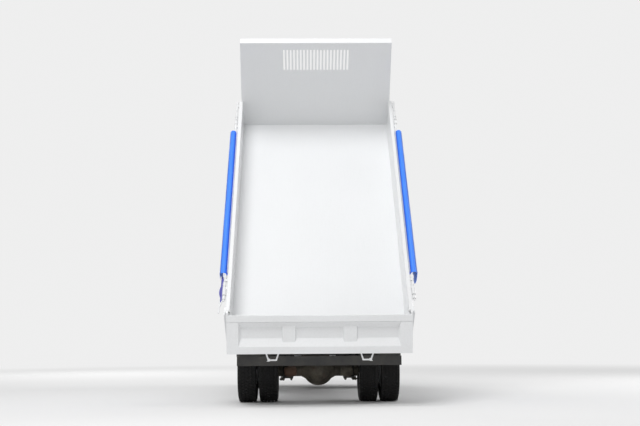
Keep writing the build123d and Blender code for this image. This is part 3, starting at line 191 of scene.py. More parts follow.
class Shape:
    """A mesh in the making, in the axes of the body that it rides on."""

    def __init__(self):
        self.points = []
        self.faces = []

    def add(self, points, faces, place=None):
        base = len(self.points)
        self.points += [place @ Vector(p) if place else Vector(p) for p in points]
        self.faces += [tuple(base + i for i in face) for face in faces]

    def prism(self, outline, low, high, place=None, chamfer=0.0):
        """An upright prism between two heights, with its upper edge chamfered."""
        middle = sum((Vector(p) for p in outline), Vector((0, 0))) / len(outline)
        rings = [(low, 0.0), (high - chamfer, 0.0), (high, chamfer)] if chamfer else [(low, 0.0), (high, 0.0)]
        points = []
        for z, trim in rings:
            for p in outline:
                out = Vector(p) - middle
                q = middle + out * (1 - trim / max(out.length, trim + 1e-6))
                points.append((q.x, q.y, z))
        self.add(points, caps(len(rings), len(outline)) + quads(len(rings), len(outline)), place)

    def block(self, low, high, chamfer=0.0, place=None):
        """A box with all its edges chamfered."""
        low, high = Vector(low), Vector(high)
        c = min(chamfer, min(high - low) / 2.01)
        points, index = [], {}
        for corner in product((0, 1), repeat=3):
            for flat in range(3):
                index[(*corner, flat)] = len(points)
                points.append([(high[k] if s else low[k]) + (0 if k == flat else -c if s else c)
                               for k, s in enumerate(corner)])

        def point(axis, s, a, b, flat):
            corner = [0, 0, 0]
            corner[axis], corner[(axis + 1) % 3], corner[(axis + 2) % 3] = s, a, b
            return index[(*corner, flat)]

        faces = []
        for axis in range(3):
            u, v = (axis + 1) % 3, (axis + 2) % 3
            for s in (0, 1):
                side = tuple(point(axis, s, a, b, axis) for a, b in ((0, 0), (1, 0), (1, 1), (0, 1)))
                faces.append(side if s else side[::-1])
            for a, b in product((0, 1), repeat=2) if c > 0 else ():
                edge = tuple(point(axis, s, a, b, flat) for s, flat in ((0, u), (0, v), (1, v), (1, u)))
                faces.append(edge if (a + b) % 2 else edge[::-1])
        for corner in product((0, 1), repeat=3) if c > 0 else ():
            tip = tuple(index[(*corner, flat)] for flat in range(3))
            faces.append(tip if sum(corner) % 2 else tip[::-1])
        self.add(points, faces, place)

    def slab(self, sign, xs, ys, zs, chamfer=0.0):
        """A block between two measures along each axis, on the truck's right or mirrored on its left."""
        a, b = sorted((sign * xs[0], sign * xs[1]))
        self.block((a, ys[0], zs[0]), (b, ys[1], zs[1]), chamfer)

    def turn(self, profile, place, sides=24, closed=False):
        """A solid turned about the place's Z, with an outline of (radius, height)."""
        rows = len(profile)
        points = [(x, y, z) for r, z in profile for _, x, y in circle(sides, r)]
        self.add(points, quads(rows, sides, closed) + ([] if closed else caps(rows, sides)), place)

    def disc(self, place, radius, height, sides=24):
        self.turn([(0.0, 0.0), (radius, 0.0), (radius, height), (0.0, height)], place, sides)

    def hoop(self, place, radius, height, bar, sides):
        """A round bar bent to a ring."""
        self.turn([(radius + x, height + y) for _, x, y in circle(8, bar)], place, sides, closed=True)

    def tube(self, path, radius, sides=8, loop=False, section=None):
        """A round bar, or one with its own section, along a path."""
        path = [Vector(p) for p in path]
        count = len(path)
        section = section or [(x, y) for _, x, y in circle(sides, radius)]
        side = None
        points = []
        for i, p in enumerate(path):
            ahead = path[(i + 1) % count] if loop or i < count - 1 else p
            behind = path[i - 1] if loop or i > 0 else p
            along = (ahead - behind).normalized()
            if side is None:
                side = along.orthogonal().normalized()
            side = (side - along * side.dot(along)).normalized()
            up = along.cross(side)
            points += [p + side * u + up * v for u, v in section]
        self.add(points, quads(count, len(section), loop) + ([] if loop else caps(count, len(section))))

    def bolt(self, at, facing, across=0.018, rise=0.010, washer=True):
        """A hexagonal head on its washer, standing out along facing."""
        place = standing(at, facing)
        if washer:
            self.disc(place, across * 0.86, across * 0.12, 14)
        outline = [(x, y) for _, x, y in circle(6, across / sqrt(3))]
        self.prism(outline, 0.0, rise + across * 0.12, place, across * 0.09)

    def rivet(self, at, facing, radius=0.009):
        self.turn([(0.0, 0.0), (radius, 0.0), (radius * 0.86, radius * 0.42), (radius * 0.45, radius * 0.66),
                   (0.0, radius * 0.7)], standing(at, facing), 10)

    def weld(self, a, b, radius=0.004):
        """A bead along a straight seam."""
        a, b = Vector(a), Vector(b)
        steps = max(4, int((b - a).length / 0.02))
        self.tube([a.lerp(b, i / steps) for i in range(steps + 1)], radius, 5)

    def make(self, name, body, finish, smooth=30, axes=level, slot=None):
        """The finished piece, riding on its body."""
        mesh = bpy.data.meshes.new(name)
        mesh.from_pydata([tuple(p) for p in self.points], [], self.faces)
        mesh.update()
        mesh.polygons.foreach_set("use_smooth", [True] * len(mesh.polygons))
        mesh.set_sharp_from_angle(angle=radians(smooth))
        piece = bpy.data.objects.new(name, mesh)
        bpy.context.scene.collection.objects.link(piece)
        piece.matrix_world = axes.matrix
        mesh.materials.append(finishes[finish])
        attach(piece, body)
        return piece


def standing(at, facing, spin=0.0):
    """A place whose Z points along facing."""
    turn = Vector(facing).to_track_quat("Z", "Y").to_matrix().to_4x4()
    return Matrix.Translation(Vector(at)) @ turn @ Matrix.Rotation(spin, 4, "Z")


def rounded(half_w, half_h, radius, steps=5):
    """A rounded rectangle about the origin, anticlockwise."""
    points = []
    for cx, cy, start in ((1, 1, 0), (-1, 1, 90), (-1, -1, 180), (1, -1, 270)):
        for i in range(steps + 1):
            a = radians(start + 90 * i / steps)
            points.append((cx * (half_w - radius) + radius * cos(a),
                           cy * (half_h - radius) + radius * sin(a)))
    return points


def split(path, longest=0.06):
    """A closed path with its long runs divided."""
    out = []
    for i, p in enumerate(path):
        a, b = Vector(p), Vector(path[(i + 1) % len(path)])
        steps = max(1, int((b - a).length / longest + 0.999))
        out += [a.lerp(b, k / steps) for k in range(steps)]
    return out


trees = {}
AHEAD, BESIDE, BEHIND_CAB = 4.2, 1.6, 1.0


def surface(node, start, direction):
    """Where a ray meets a CAD node, and the way that its surface faces there."""
    if node not in trees:
        mesh = nodes[node].data
        trees[node] = BVHTree.FromPolygons([v.co for v in mesh.vertices], [p.vertices for p in mesh.polygons])
    at, normal, _, _ = trees[node].ray_cast(Vector(start), Vector(direction).normalized())
    if at is None:
        raise RuntimeError(f"nothing of {node} lies at {tuple(start)}")
    if normal.dot(Vector(direction)) > 0:
        normal = -normal
    return at, normal


def front_skin(node, x, z):
    """As surface, from ahead of the truck."""
    return surface(node, (x, AHEAD, z), (0, -1, 0))


def side_skin(node, sign, y, z):
    """As surface, from beside the truck."""
    return surface(node, (sign * BESIDE, y, z), (-sign, 0, 0))


def surface_in(axes, node, start, direction):
    """As surface, in a body's own axes."""
    turn = axes.matrix.to_3x3()
    at, normal = surface(node, axes.matrix @ Vector(start), turn @ Vector(direction))
    return axes.inverse @ at, axes.inverse.to_3x3() @ normal


# Finishes


def toned(tone, by, plus=0.0):
    return tuple(min(1.0, c * by + plus) for c in tone)


class Finish:
    """A material in the making, with its nodes."""

    def __init__(self, name):
        self.material = bpy.data.materials.new(name)
        self.material.use_nodes = True
        self.tree = self.material.node_tree
        self.shader = self.tree.nodes["Principled BSDF"]
        self.place = self.node("ShaderNodeTexCoord").outputs["Object"]

    def node(self, kind, **values):
        made = self.tree.nodes.new(kind)
        for name, value in values.items():
            if hasattr(made, name) and name not in made.inputs:
                setattr(made, name, value)
            else:
                made.inputs[name.replace("_", " ")].default_value = value
        return made

    def link(self, out, to):
        self.tree.links.new(out, to)

    def noise(self, scale, detail=4.0, rough=0.55, stretch=None):
        """A noise of its own scale, drawn out along an axis where stretch says so."""
        made = self.node("ShaderNodeTexNoise", Scale=scale, Detail=detail, Roughness=rough)
        place = self.place
        if stretch:
            mapping = self.node("ShaderNodeMapping", Scale=stretch)
            self.link(place, mapping.inputs["Vector"])
            place = mapping.outputs["Vector"]
        self.link(place, made.inputs["Vector"])
        return made.outputs["Fac"]

    def bands(self, axis, scale, distortion=0.0):
        """Even waves across an axis."""
        made = self.node("ShaderNodeTexWave", wave_type="BANDS", bands_direction=axis, Scale=scale,
                         Distortion=distortion)
        self.link(self.place, made.inputs["Vector"])
        return made.outputs["Fac"]

    def ramp(self, value, *stops):
        """Remaps a value through a ramp of (position, grey)."""
        made = self.node("ShaderNodeValToRGB")
        elements = made.color_ramp.elements
        for element, (position, tone) in zip(elements, stops):
            element.position = position
            element.color = (tone, tone, tone, 1)
        self.link(value, made.inputs["Fac"])
        return made.outputs["Color"]

    def put(self, socket, value):
        """Link a socket, or give it a number, a colour or a vector."""
        if isinstance(value, bpy.types.NodeSocket):
            self.link(value, socket)
        else:
            socket.default_value = (*value, 1) if isinstance(value, tuple) else value

    def math(self, kind, a, b):
        made = self.node("ShaderNodeMath", operation=kind)
        for socket, value in zip(made.inputs, (a, b)):
            self.put(socket, value)
        return made.outputs["Value"]

    def mix(self, share_of, a, b):
        """A colour between two others; each may be a socket or a plain colour."""
        made = self.node("ShaderNodeMix", data_type="RGBA")
        for place, value in ((0, share_of), (6, a), (7, b)):
            self.put(made.inputs[place], value)
        return made.outputs[2]

    def bump(self, height, strength, distance):
        made = self.node("ShaderNodeBump", Strength=strength, Distance=distance)
        self.link(height, made.inputs["Height"])
        self.link(made.outputs["Normal"], self.shader.inputs["Normal"])

    def set(self, **values):
        for name, value in values.items():
            self.put(self.shader.inputs[name.replace("_", " ")], value)
        return self.material


def enamel(name, tone, dirt, dust, scratch=0.0):
    """Gloss enamel with faint waviness, thin dust and, where a load slides, long scratches."""
    f = Finish(name)
    blotch = f.ramp(f.noise(1.3, 5.0), (0.35, 0.0), (0.75, 1.0))
    fine = f.ramp(f.noise(38.0, 3.0), (0.45, 0.0), (0.8, 1.0))
    soil = f.math("MULTIPLY", f.math("ADD", blotch, fine), dirt * 0.16)
    shade = f.mix(soil, tone, dust)
    rough = f.ramp(f.noise(9.0), (0.3, 0.30), (0.8, 0.44))
    height = f.noise(240.0, 2.0)
    if scratch:
        lines = f.ramp(f.noise(2.2, 8.0, 0.72, (46.0, 1.6, 1.6)), (0.50, 0.0), (0.62, 1.0))
        worn = f.math("MULTIPLY", lines, scratch)
        shade = f.mix(worn, shade, toned(tone, 0.72))
        height = f.math("SUBTRACT", height, lines)
    f.bump(height, 0.08, 0.002)
    return f.set(Base_Color=shade, Roughness=rough, Coat_Weight=0.25, Coat_Roughness=0.18)


def chassis_paint(name, tone, dirt, dust, rough=0.52):
    """Satin dark paint with dust, more of it on faces that look up."""
    f = Finish(name)
    facing = f.node("ShaderNodeSeparateXYZ")
    f.link(f.node("ShaderNodeNewGeometry").outputs["Normal"], facing.inputs["Vector"])
    up = f.ramp(facing.outputs["Z"], (0.1, 0.0), (0.95, 1.0))
    patch = f.ramp(f.noise(4.5, 6.0, 0.65), (0.35, 0.1), (0.72, 1.0))
    soil = f.math("MULTIPLY", f.math("ADD", f.math("MULTIPLY", up, 0.6), 0.35), patch)
    soil = f.math("MULTIPLY", soil, dirt)
    f.bump(f.noise(160.0, 3.0), 0.18, 0.002)
    return f.set(Base_Color=f.mix(soil, tone, dust), Roughness=f.ramp(soil, (0.0, rough), (0.6, 0.88)))


def casting(name, tone, dirt, dust):
    """Sand-cast iron under dust and old oil."""
    f = Finish(name)
    grit = f.noise(95.0, 5.0, 0.7)
    patch = f.ramp(f.noise(6.0, 6.0, 0.65), (0.35, 0.0), (0.7, 1.0))
    rust = f.mix(f.ramp(f.noise(11.0, 6.0, 0.7), (0.55, 0.0), (0.72, 0.55)), tone, (0.09, 0.035, 0.016))
    f.bump(grit, 0.45, 0.004)
    return f.set(Base_Color=f.mix(f.math("MULTIPLY", patch, dirt), rust, dust),
                 Roughness=f.ramp(grit, (0.3, 0.6), (0.7, 0.85)))


def tyre_rubber(name, tone, dirt, dust):
    """Matt rubber, greyer where it is scuffed, with fine pores."""
    f = Finish(name)
    scuff = f.ramp(f.noise(14.0, 6.0, 0.7), (0.42, 0.0), (0.75, 1.0))
    f.bump(f.noise(320.0, 3.0), 0.30, 0.0015)
    return f.set(Base_Color=f.mix(f.math("MULTIPLY", scuff, dirt * 0.5), tone, toned(dust, 0.22)),
                 Roughness=f.ramp(scuff, (0.0, 0.72), (1.0, 0.90)), Specular_IOR_Level=0.35)


def cover_cloth(name, tone):
    """Coated woven sheet: a fine crossed weave under a soft plastic shine."""
    f = Finish(name)
    weave = f.math("MULTIPLY", f.bands("Y", 420.0, 0.6), f.bands("Z", 420.0, 0.6))
    fade = f.ramp(f.noise(3.0, 5.0, 0.6), (0.35, 0.0), (0.75, 0.6))
    f.bump(f.math("ADD", weave, f.math("MULTIPLY", f.noise(24.0, 5.0), 1.5)), 0.35, 0.0016)
    return f.set(Base_Color=f.mix(fade, tone, toned(tone, 1.15, 0.012)),
                 Roughness=f.ramp(weave, (0.0, 0.42), (1.0, 0.58)), Sheen_Weight=0.15)


def woven_cloth(name, tone):
    """Seat cloth with a coarse weave."""
    f = Finish(name)
    weave = f.math("MULTIPLY", f.bands("X", 260.0, 1.2), f.bands("Y", 260.0, 1.2))
    f.bump(weave, 0.6, 0.002)
    return f.set(Base_Color=f.mix(weave, toned(tone, 0.6), tone), Roughness=0.92, Sheen_Weight=0.3)


def moulded(name, tone, rough=0.55, grain=420.0):
    """Moulded plastic with a fine leather-like grain."""
    f = Finish(name)
    cells = f.node("ShaderNodeTexVoronoi", Scale=grain)
    f.link(f.place, cells.inputs["Vector"])
    wear = f.ramp(f.noise(7.0, 5.0), (0.4, 0.0), (0.8, 0.35))
    f.bump(cells.outputs["Distance"], 0.25, 0.0012)
    return f.set(Base_Color=f.mix(wear, tone, toned(tone, 1.6, 0.01)),
                 Roughness=f.ramp(wear, (0.0, rough), (0.4, min(1.0, rough + 0.2))))


def bright_metal(name, tone, rough, streak=(1.0, 1.0, 40.0)):
    """Bare or plated metal with drawn marks."""
    f = Finish(name)
    drawn = f.noise(30.0, 4.0, 0.6, streak)
    f.bump(drawn, 0.06, 0.0008)
    dull = f.ramp(f.noise(5.0, 4.0), (0.4, 0.0), (0.8, 0.3))
    return f.set(Base_Color=f.mix(dull, tone, toned(tone, 0.75)), Metallic=1.0,
                 Roughness=f.ramp(drawn, (0.3, rough), (0.8, rough + 0.14)))


def clear_glass(name, tone):
    """Tinted safety glass with a trace of dust."""
    f = Finish(name)
    haze = f.ramp(f.noise(12.0, 5.0), (0.4, 0.0), (0.9, 0.12))
    return f.set(Base_Color=tone, Roughness=f.ramp(haze, (0.0, 0.02), (0.12, 0.16)), IOR=1.45,
                 Transmission_Weight=1.0)


def lens(name, tone):
    """Coloured lens with moulded ribs."""
    f = Finish(name)
    ribs = f.bands("X", 55.0)
    f.bump(ribs, 0.5, 0.002)
    return f.set(Base_Color=f.mix(ribs, toned(tone, 0.7), tone), Roughness=0.12, Coat_Weight=1.0,
                 Coat_Roughness=0.05, Transmission_Weight=0.15)


# The strength that the world and the far floor show to the camera, and where the floor fades to it
BACKDROP, FADE_START, FADE_END = 0.86, 7.0, 20.0


def plain_floor(name, tone):
    """The stage's pale floor, which fades to the backdrop far out and keeps the truck's shadow."""
    f = Finish(name)
    f.set(Base_Color=f.mix(f.noise(2.0), tone, toned(tone, 0.99)), Roughness=0.9)
    far = f.node("ShaderNodeVectorMath", operation="LENGTH")
    f.link(f.place, far.inputs[0])
    fade = f.node("ShaderNodeMapRange", interpolation_type="SMOOTHSTEP", From_Min=FADE_START,
                  From_Max=FADE_END)
    f.link(far.outputs["Value"], fade.inputs["Value"])
    seen = f.node("ShaderNodeLightPath").outputs["Is Camera Ray"]
    haze = f.node("ShaderNodeEmission", Strength=BACKDROP)
    blend = f.node("ShaderNodeMixShader")
    for place, out in enumerate((f.math("MULTIPLY", fade.outputs["Result"], seen), f.shader.outputs[0],
                                 haze.outputs[0])):
        f.link(out, blend.inputs[place])
    output = next(node for node in f.tree.nodes if node.type == "OUTPUT_MATERIAL")
    f.link(blend.outputs[0], output.inputs["Surface"])
    return f.material


finishes = {}


def make_finishes():
    tones = bpy.context.scene.truck_colours
    tone = {key: tuple(getattr(tones, key)) for key in
            ("enamel", "chassis", "casting", "wheel", "rubber", "cover", "dust")}
    dirt, dust = tones.dirt, tone["dust"]
    finishes.update(
        enamel=enamel("white enamel", tone["enamel"], dirt, dust),
        load=enamel("scratched white enamel", tone["enamel"], dirt * 0.4, dust, 0.05),
        under=enamel("dusty white enamel", tone["enamel"], dirt * 2.2, dust),
        frame=chassis_paint("chassis paint", tone["chassis"], dirt, dust),
        casting=casting("dusty casting", tone["casting"], dirt * 1.4, dust),
        rust=chassis_paint("rusty chamber", (0.085, 0.040, 0.022), dirt, dust, 0.7),
        wheel=chassis_paint("wheel paint", tone["wheel"], dirt * 0.8, dust, 0.38),
        rubber=tyre_rubber("tyre rubber", tone["rubber"], dirt, dust),
        cover=cover_cloth("blue cover sheet", tone["cover"]),
        # painted shade: a darker, greyer copy of the blue sheet, used only for the flap at the left cover's
        # end
        shaded_cover=cover_cloth("faded cover sheet", (0.11, 0.11, 0.42)),
        edging=moulded("pale edging", (0.62, 0.66, 0.74), 0.5),
        seat=woven_cloth("seat cloth", (0.030, 0.033, 0.042)),
        black=moulded("grained black plastic", (0.018, 0.018, 0.019)),
        grey=moulded("grained grey plastic", (0.10, 0.10, 0.105)),
        seal=moulded("window rubber", (0.011, 0.011, 0.012), 0.7, 600.0),
        chrome=bright_metal("hard chrome", (0.80, 0.81, 0.83), 0.10, (1.0, 40.0, 1.0)),
        zinc=bright_metal("zinc-plated steel", (0.50, 0.50, 0.49), 0.38),
        tank=bright_metal("tank metal", (0.60, 0.61, 0.62), 0.32, (40.0, 1.0, 1.0)),
        glass=clear_glass("cab glass", (0.86, 0.93, 0.91)),
        mirror=bright_metal("mirror", (0.86, 0.87, 0.88), 0.03),
        red=lens("red lens", (0.42, 0.012, 0.010)),
        amber=lens("amber lens", (0.75, 0.20, 0.01)),
        clear=lens("clear lens", (0.80, 0.82, 0.84)),
        plate=moulded("blank plate", (0.72, 0.73, 0.72), 0.4),
        stage=plain_floor("stage floor", (0.80, 0.80, 0.80)),
    )


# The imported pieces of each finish; a star stands for right and for left
FINISH_OF = {
    "enamel": "bed_side_* tailgate cab_shell door_* front_bumper side_guards gate_claws",
    "load": "bed_floor bed_front_wall",
    "under": "bed_underframe bed_sills cover_gear_*",
    "frame": "frame_rail_* crossmembers subframe hinge_brackets hoist_base front_springs rear_springs "
             "fuel_tank battery_box air_tanks rear_fenders rear_guard tilt_pins cab_steps hoist_barrel "
             "tail_lamps",
    "casting": "front_axle rear_axle engine propshaft knuckle_*",
    "wheel": "rim_front_* rims_rear_*",
    "rubber": "tyre_front_* tyres_rear_*",
    "cover": "side_cover_*",
    "glass": "windscreen rear_glass door_glass_*",
    "grey": "dashboard",
    "black": "steering_wheel mirrors",
    "seat": "seats",
    "chrome": "hoist_rod",
    "tank": "silencer",
    "clear": "headlamps",
}


class TRUCK_OT_finishes(bpy.types.Operator):
    """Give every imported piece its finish"""

    bl_idname = "truck.finishes"
    bl_label = "Finishes"

    def execute(self, context):
        make_finishes()
        for finish, names in FINISH_OF.items():
            for name in names.split():
                for node in {name.replace("*", side) for side, _ in SIDES}:
                    materials = nodes[node].data.materials
                    materials.clear()
                    materials.append(finishes[finish])
        return {"FINISHED"}


# Tyres

TREAD_RIBS, TREAD_HALF, SHOULDER_DROP = 5, 0.90, 0.006
RIM_LIP = 0.014
# A tyre's section, as shares of half its width, with drops from the grooves' floor, drops from the tread's
# top, and rises from the bead
CROWN = ((0.0, 0.0), (0.84, 0.004), (0.93, 0.010), (0.965, 0.022))
WALL = ((0.985, 0.050), (1.0, 0.085), (1.0, 0.098), (0.985, 0.104), (0.96, 0.122), (0.90, 0.142),
        (0.86, 0.150))
BEAD = ((0.80, 0.014), (0.68, 0.008), (0.68, 0.0))


def tyre_profile(outer, half, bead, groove):
    """Half of a carcass section, as (distance from the middle, radius), from the crown to the bead."""
    floor = outer - groove
    return ([(half * s, floor - drop) for s, drop in CROWN] + [(half * s, outer - drop) for s, drop in WALL]
            + [(half * s, bead + rise) for s, rise in BEAD])


def cut_tyre(shape, x, y, z, outer, half, tread):
    """One tyre: a carcass with rows of tread blocks."""
    place = standing((x, y, z), (1, 0, 0))
    right = tyre_profile(outer, half, bead_radius, tread.groove)
    ring = [(r, d) for d, r in reversed(right)] + [(r, -d) for d, r in right[1:]]
    shape.turn(ring, place, 72, closed=True)
    width = (2 * half * TREAD_HALF - (TREAD_RIBS - 1) * tread.gap) / TREAD_RIBS
    turn = 2 * pi / tread.blocks
    for row, i in product(range(TREAD_RIBS), range(tread.blocks)):
        d0 = -half * TREAD_HALF + row * (width + tread.gap)
        d1 = d0 + width
        start = (i + 0.5 * (row % 2)) * turn
        stop = start + turn * (1 - tread.sipe)
        skew = turn * 0.16 * (1 if row % 2 else -1)
        points = []
        for lift, trim in ((-0.004, 0.0), (tread.groove - 0.0015, 0.0), (tread.groove, 0.0015)):
            for d, a in ((d0, start + skew), (d1, start - skew), (d1, stop - skew), (d0, stop + skew)):
                r = outer - tread.groove + lift
                if row in (0, TREAD_RIBS - 1) and abs(d) > half * 0.85:
                    r -= SHOULDER_DROP
                inward = trim if d == d0 else -trim
                around = trim / outer if a < (start + stop) / 2 else -trim / outer
                points.append((r * cos(a + around), r * sin(a + around), d + inward))
        shape.add(points, [(8, 9, 10, 11)] + quads(3, 4), place)


class TRUCK_OT_tyres(bpy.types.Operator):
    """Draw the tyres' walls and cut their tread"""

    bl_idname = "truck.tyres"
    bl_label = "Tyres"

    def execute(self, context):
        tread = context.scene.truck_tyres
        for side, _ in SIDES:
            for node, body, twin in ((f"tyre_front_{side}", f"wheel_front_{side}", False),
                                     (f"tyres_rear_{side}", f"wheel_rear_{side}", True)):
                low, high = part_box(node)
                outer = (high[2] - low[2]) / 2
                y, z = (low[1] + high[1]) / 2, low[2] + outer
                half = tyre_half if twin else (high[0] - low[0]) / 2
                shape = Shape()
                for x in (low[0] + half, high[0] - half) if twin else ((low[0] + high[0]) / 2,):
                    cut_tyre(shape, x, y, z, outer, half, tread)
                piece = shape.make(f"{node}_tread", body, "rubber", 32, slot="tyre")
                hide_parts(node)
        return {"FINISHED"}


front_tyre, front_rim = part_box("tyre_front_right"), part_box("rim_front_right")
tyre_half = (front_tyre[1][0] - front_tyre[0][0]) / 2
bead_radius = (front_rim[1][2] - front_rim[0][2]) / 2 - RIM_LIP + 0.0003


# Folded side covers

FABRIC_PROUD = 0.009
HEM_RADIUS, STRAPS = 0.0042, 5
CORNER_REACH, CORNER_DRAWN = 0.16, 0.62


def arc(cx, cz, radius, start, stop, steps):
    """Points of an arc, with angles in degrees."""
    angles = [radians(start + (stop - start) * i / steps) for i in range(steps + 1)]
    return [(cx + radius * cos(a), cz + radius * sin(a)) for a in angles]


def fold_line(width, height, crease):
    """The sheet's section: inner hem, valley, broad fold, down the outside and up to the outer hem."""
    a, b = 0.005, crease * width
    r1, r3 = (b - a) / 2, 0.0024
    c = width + FABRIC_PROUD - 0.004 - 2 * r3
    r2 = (c - b) / 2
    top, foot, valley = height - r2 - 0.002, 0.022, height - 0.062
    line = [(a, height - 0.006), (a + 0.0005, height - 0.024), (a, height - 0.042)]
    line += arc(a + r1, valley + r1, r1, 180, 360, 8)
    line += [(b, top - 0.004)]
    line += arc(b + r2, top, r2, 180, 0, 14)
    line += [(c + 0.001, height * 0.65), (c - 0.001, height * 0.4), (c, foot + 0.03)]
    line += arc(c + r3, foot, r3, 180, 360, 6)
    line += [(c + 2 * r3, height * 0.4), (c + 2 * r3, height * 0.7), (c + 2 * r3, height - 0.020)]
    return line


def folded_sheet(shape, line, start, stop, sizes, corner, side):
    """The sheet along Y, rippled a little, as one closed thin layer."""
    count, rows = len(line), 150
    normals = []
    for i in range(count):
        p, q = Vector(line[max(0, i - 1)]), Vector(line[min(count - 1, i + 1)])
        along = (q - p).normalized()
        normals.append(Vector((along.y, -along.x)))
    top = max(z for _, z in line)
    points = []
    for j in range(rows + 1):
        t = j / rows
        y = start + (stop - start) * t
        calm = min(1.0, 6 * t, 6 * (1 - t))
        from_end = min(t, 1 - t) * (stop - start)
        drawn = CORNER_DRAWN * max(0.0, 1 - from_end / CORNER_REACH) ** 2
        for i, (x, z) in enumerate(line):
            deep = 1 - z / top
            wave = sin(y * 9.0 + 0.5 * z * 10) + 0.6 * sin(y * 23.0 + x * 40) + 0.35 * sin(y * 51.0 + z * 31)
            outer = 0.25 + 0.75 * i / count
            shift = sizes.ripple * 0.5 * wave * calm * (0.25 + 0.75 * deep) * outer
            sag = 0.0035 * sin(y * 4.1 + x * 30) * calm
            base = Vector((x + shift, z + sag * (1 - deep) + drawn * max(0.0, top - 0.045 - z)))
            for layer in (-0.5, 0.5):
                p = base + normals[i] * (sizes.cloth * layer)
                points.append((side * (corner.x + p.x), y, corner.z + p.y))
    width = 2 * count
    faces = []
    for j in range(rows):
        for i, layer in product(range(count - 1), (0, 1)):
            a = j * width + 2 * i + layer
            face = (a, a + 2, a + 2 + width, a + width)
            faces.append(face if layer else face[::-1])
        for i in (0, count - 1):
            a = j * width + 2 * i
            face = (a, a + 1, a + 1 + width, a + width)
            faces.append(face if i == 0 else face[::-1])
    for j, i in product((0, rows), range(count - 1)):
        a = j * width + 2 * i
        face = (a, a + 2, a + 3, a + 1)
        faces.append(face if j == 0 else face[::-1])
    shape.add(points, [face[::-1] for face in faces] if side < 0 else faces)


# The flap between the bars of the left cover's bent arm, in the bed's axes
FLAP_END, ARM_BEND, BAR_Z = -0.060, -0.037, 0.609
BULGE_Y, BULGE_WIDTH, BAR_RADIUS = 0.090, 0.080, 0.0095


class TRUCK_OT_covers(bpy.types.Operator):
    """Fold the sheets that hang outside the bed's rails, and lay the flap at the left one's end"""

    bl_idname = "truck.covers"
    bl_label = "Side covers"

    def execute(self, context):
        sizes = context.scene.truck_covers
        for name, side in SIDES:
            low, high = bed.box(f"side_cover_{name}")
            low.x, high.x = sorted((abs(low.x), abs(high.x)))
            line = fold_line(high.x - low.x, high.z - low.z, sizes.crease)
            cloth, hems, straps = Shape(), Shape(), Shape()
            folded_sheet(cloth, line, low.y, high.y, sizes, low, side)
            piece = cloth.make(f"cover_sheet_{name}", "bed", "cover", 40, bed, "cover_cloth")
            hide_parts(f"side_cover_{name}")
            run = [low.y + 0.004 + i * (high.y - low.y - 0.008) / 60 for i in range(61)]
            for x, z in (line[0], line[-1]):
                hems.tube([(side * (low.x + x), y, low.z + z) for y in run], HEM_RADIUS)
            piping = hems.make(f"cover_hems_{name}", "bed", "edging", 40, bed)
            x, z = low.x + line[0][0], low.z + line[0][1]
            for i in range(STRAPS):
                y = low.y + 0.14 + i * (high.y - low.y - 0.30) / (STRAPS - 1)
                straps.slab(side, (x - 0.005, x + 0.003), (y, y + 0.030), (z - 0.055, z + 0.004), 0.0012)
            bands = straps.make(f"cover_straps_{name}", "bed", "edging", 40, bed)
        self.flap()
        return {"FINISHED"}

    def flap(self):
        """The end of the sheet between the legs of the left cover's bent pipe, bulging over the outer leg."""
        cover_end = bed.box("side_cover_left")[0].y
        bar = bed.box("cover_gear_left")[0].x + BAR_RADIUS
        far = cover_end - 0.008
        rows, count = 60, 14
        points = []
        for j in range(rows + 1):
            y = FLAP_END + (far - FLAP_END) * j / rows
            if y > ARM_BEND:
                leg = -1.184 - 0.016 * (cover_end - y) / (cover_end - ARM_BEND)
            else:
                leg = -1.200 - 0.336 * (ARM_BEND - y)
            inner = leg - 0.0085
            over = exp(-((y - BULGE_Y) / BULGE_WIDTH) ** 2)
            outer = bar + 0.0090 - 0.0200 * over
            for i in range(count + 1):
                s = i / count
                slack = (0.0012 * sin(y * 70 + s * 3) - 0.007) * sin(pi * s) * (1 - 0.8 * over)
                x = outer + (inner - outer) * s
                ride = 0.0130 * min(1.0, 2.2 * over) * exp(-((x - bar) / 0.013) ** 2)
                points.append((x, y, BAR_Z + slack + ride))
        shape = Shape()
        shape.add(points, quads(rows + 1, count + 1, around=False))
        # The flap takes the darker, greyer cover finish, which is painted shade, not a different cloth
        piece = shape.make("cover_flap_left", "bed", "shaded_cover", 40, bed)


# Wheels

STUD_CIRCLE, HUB_CIRCLE = 0.131, 0.049
VALVE = ((-0.004, 0.0), (0.012, 0.0), (0.026, 0.004), (0.040, 0.012))
NUT_TIP = [(0.0, 0.024), (0.0105, 0.024), (0.0105, 0.044), (0.008, 0.047), (0.0, 0.047)]


class TRUCK_OT_wheels(bpy.types.Operator):
    """Add the nuts, hub bolts and valves of the wheels"""

    bl_idname = "truck.wheels"
    bl_label = "Wheel details"

    def execute(self, context):
        for side, sign in SIDES:
            for row, rim in (("front", f"rim_front_{side}"), ("rear", f"rims_rear_{side}")):
                self.wheel(f"wheel_{row}_{side}", rim, sign)
        return {"FINISHED"}

    def wheel(self, body, rim, sign):
        _, y, z = joints[f"{body}_spin"]["pos_m"]
        nuts, small = Shape(), Shape()
        out = Vector((sign, 0, 0))
        for angle, dy, dz in circle(8, STUD_CIRCLE, 0.5):
            at, _ = side_skin(rim, sign, y + dy, z + dz)
            place = standing(at, out, angle)
            nuts.disc(place, 0.024, 0.005, 20)
            nuts.bolt(at + out * 0.004, out, 0.033, 0.026, False)
            nuts.turn(NUT_TIP, place, 14)
        for _, dy, dz in circle(8, HUB_CIRCLE):
            at, _ = side_skin(rim, sign, y + dy, z + dz)
            small.bolt(at - out * 0.001, out, 0.011, 0.006)
        at, _ = side_skin(rim, sign, y, z + bead_radius - 0.020)
        small.tube([at + Vector((sign * d, 0, -h)) for d, h in VALVE], 0.0042)
        nuts.make(f"{body}_nuts", body, "zinc")
        small.make(f"{body}_hub_bolts", body, "zinc")


# Tailgate and bed

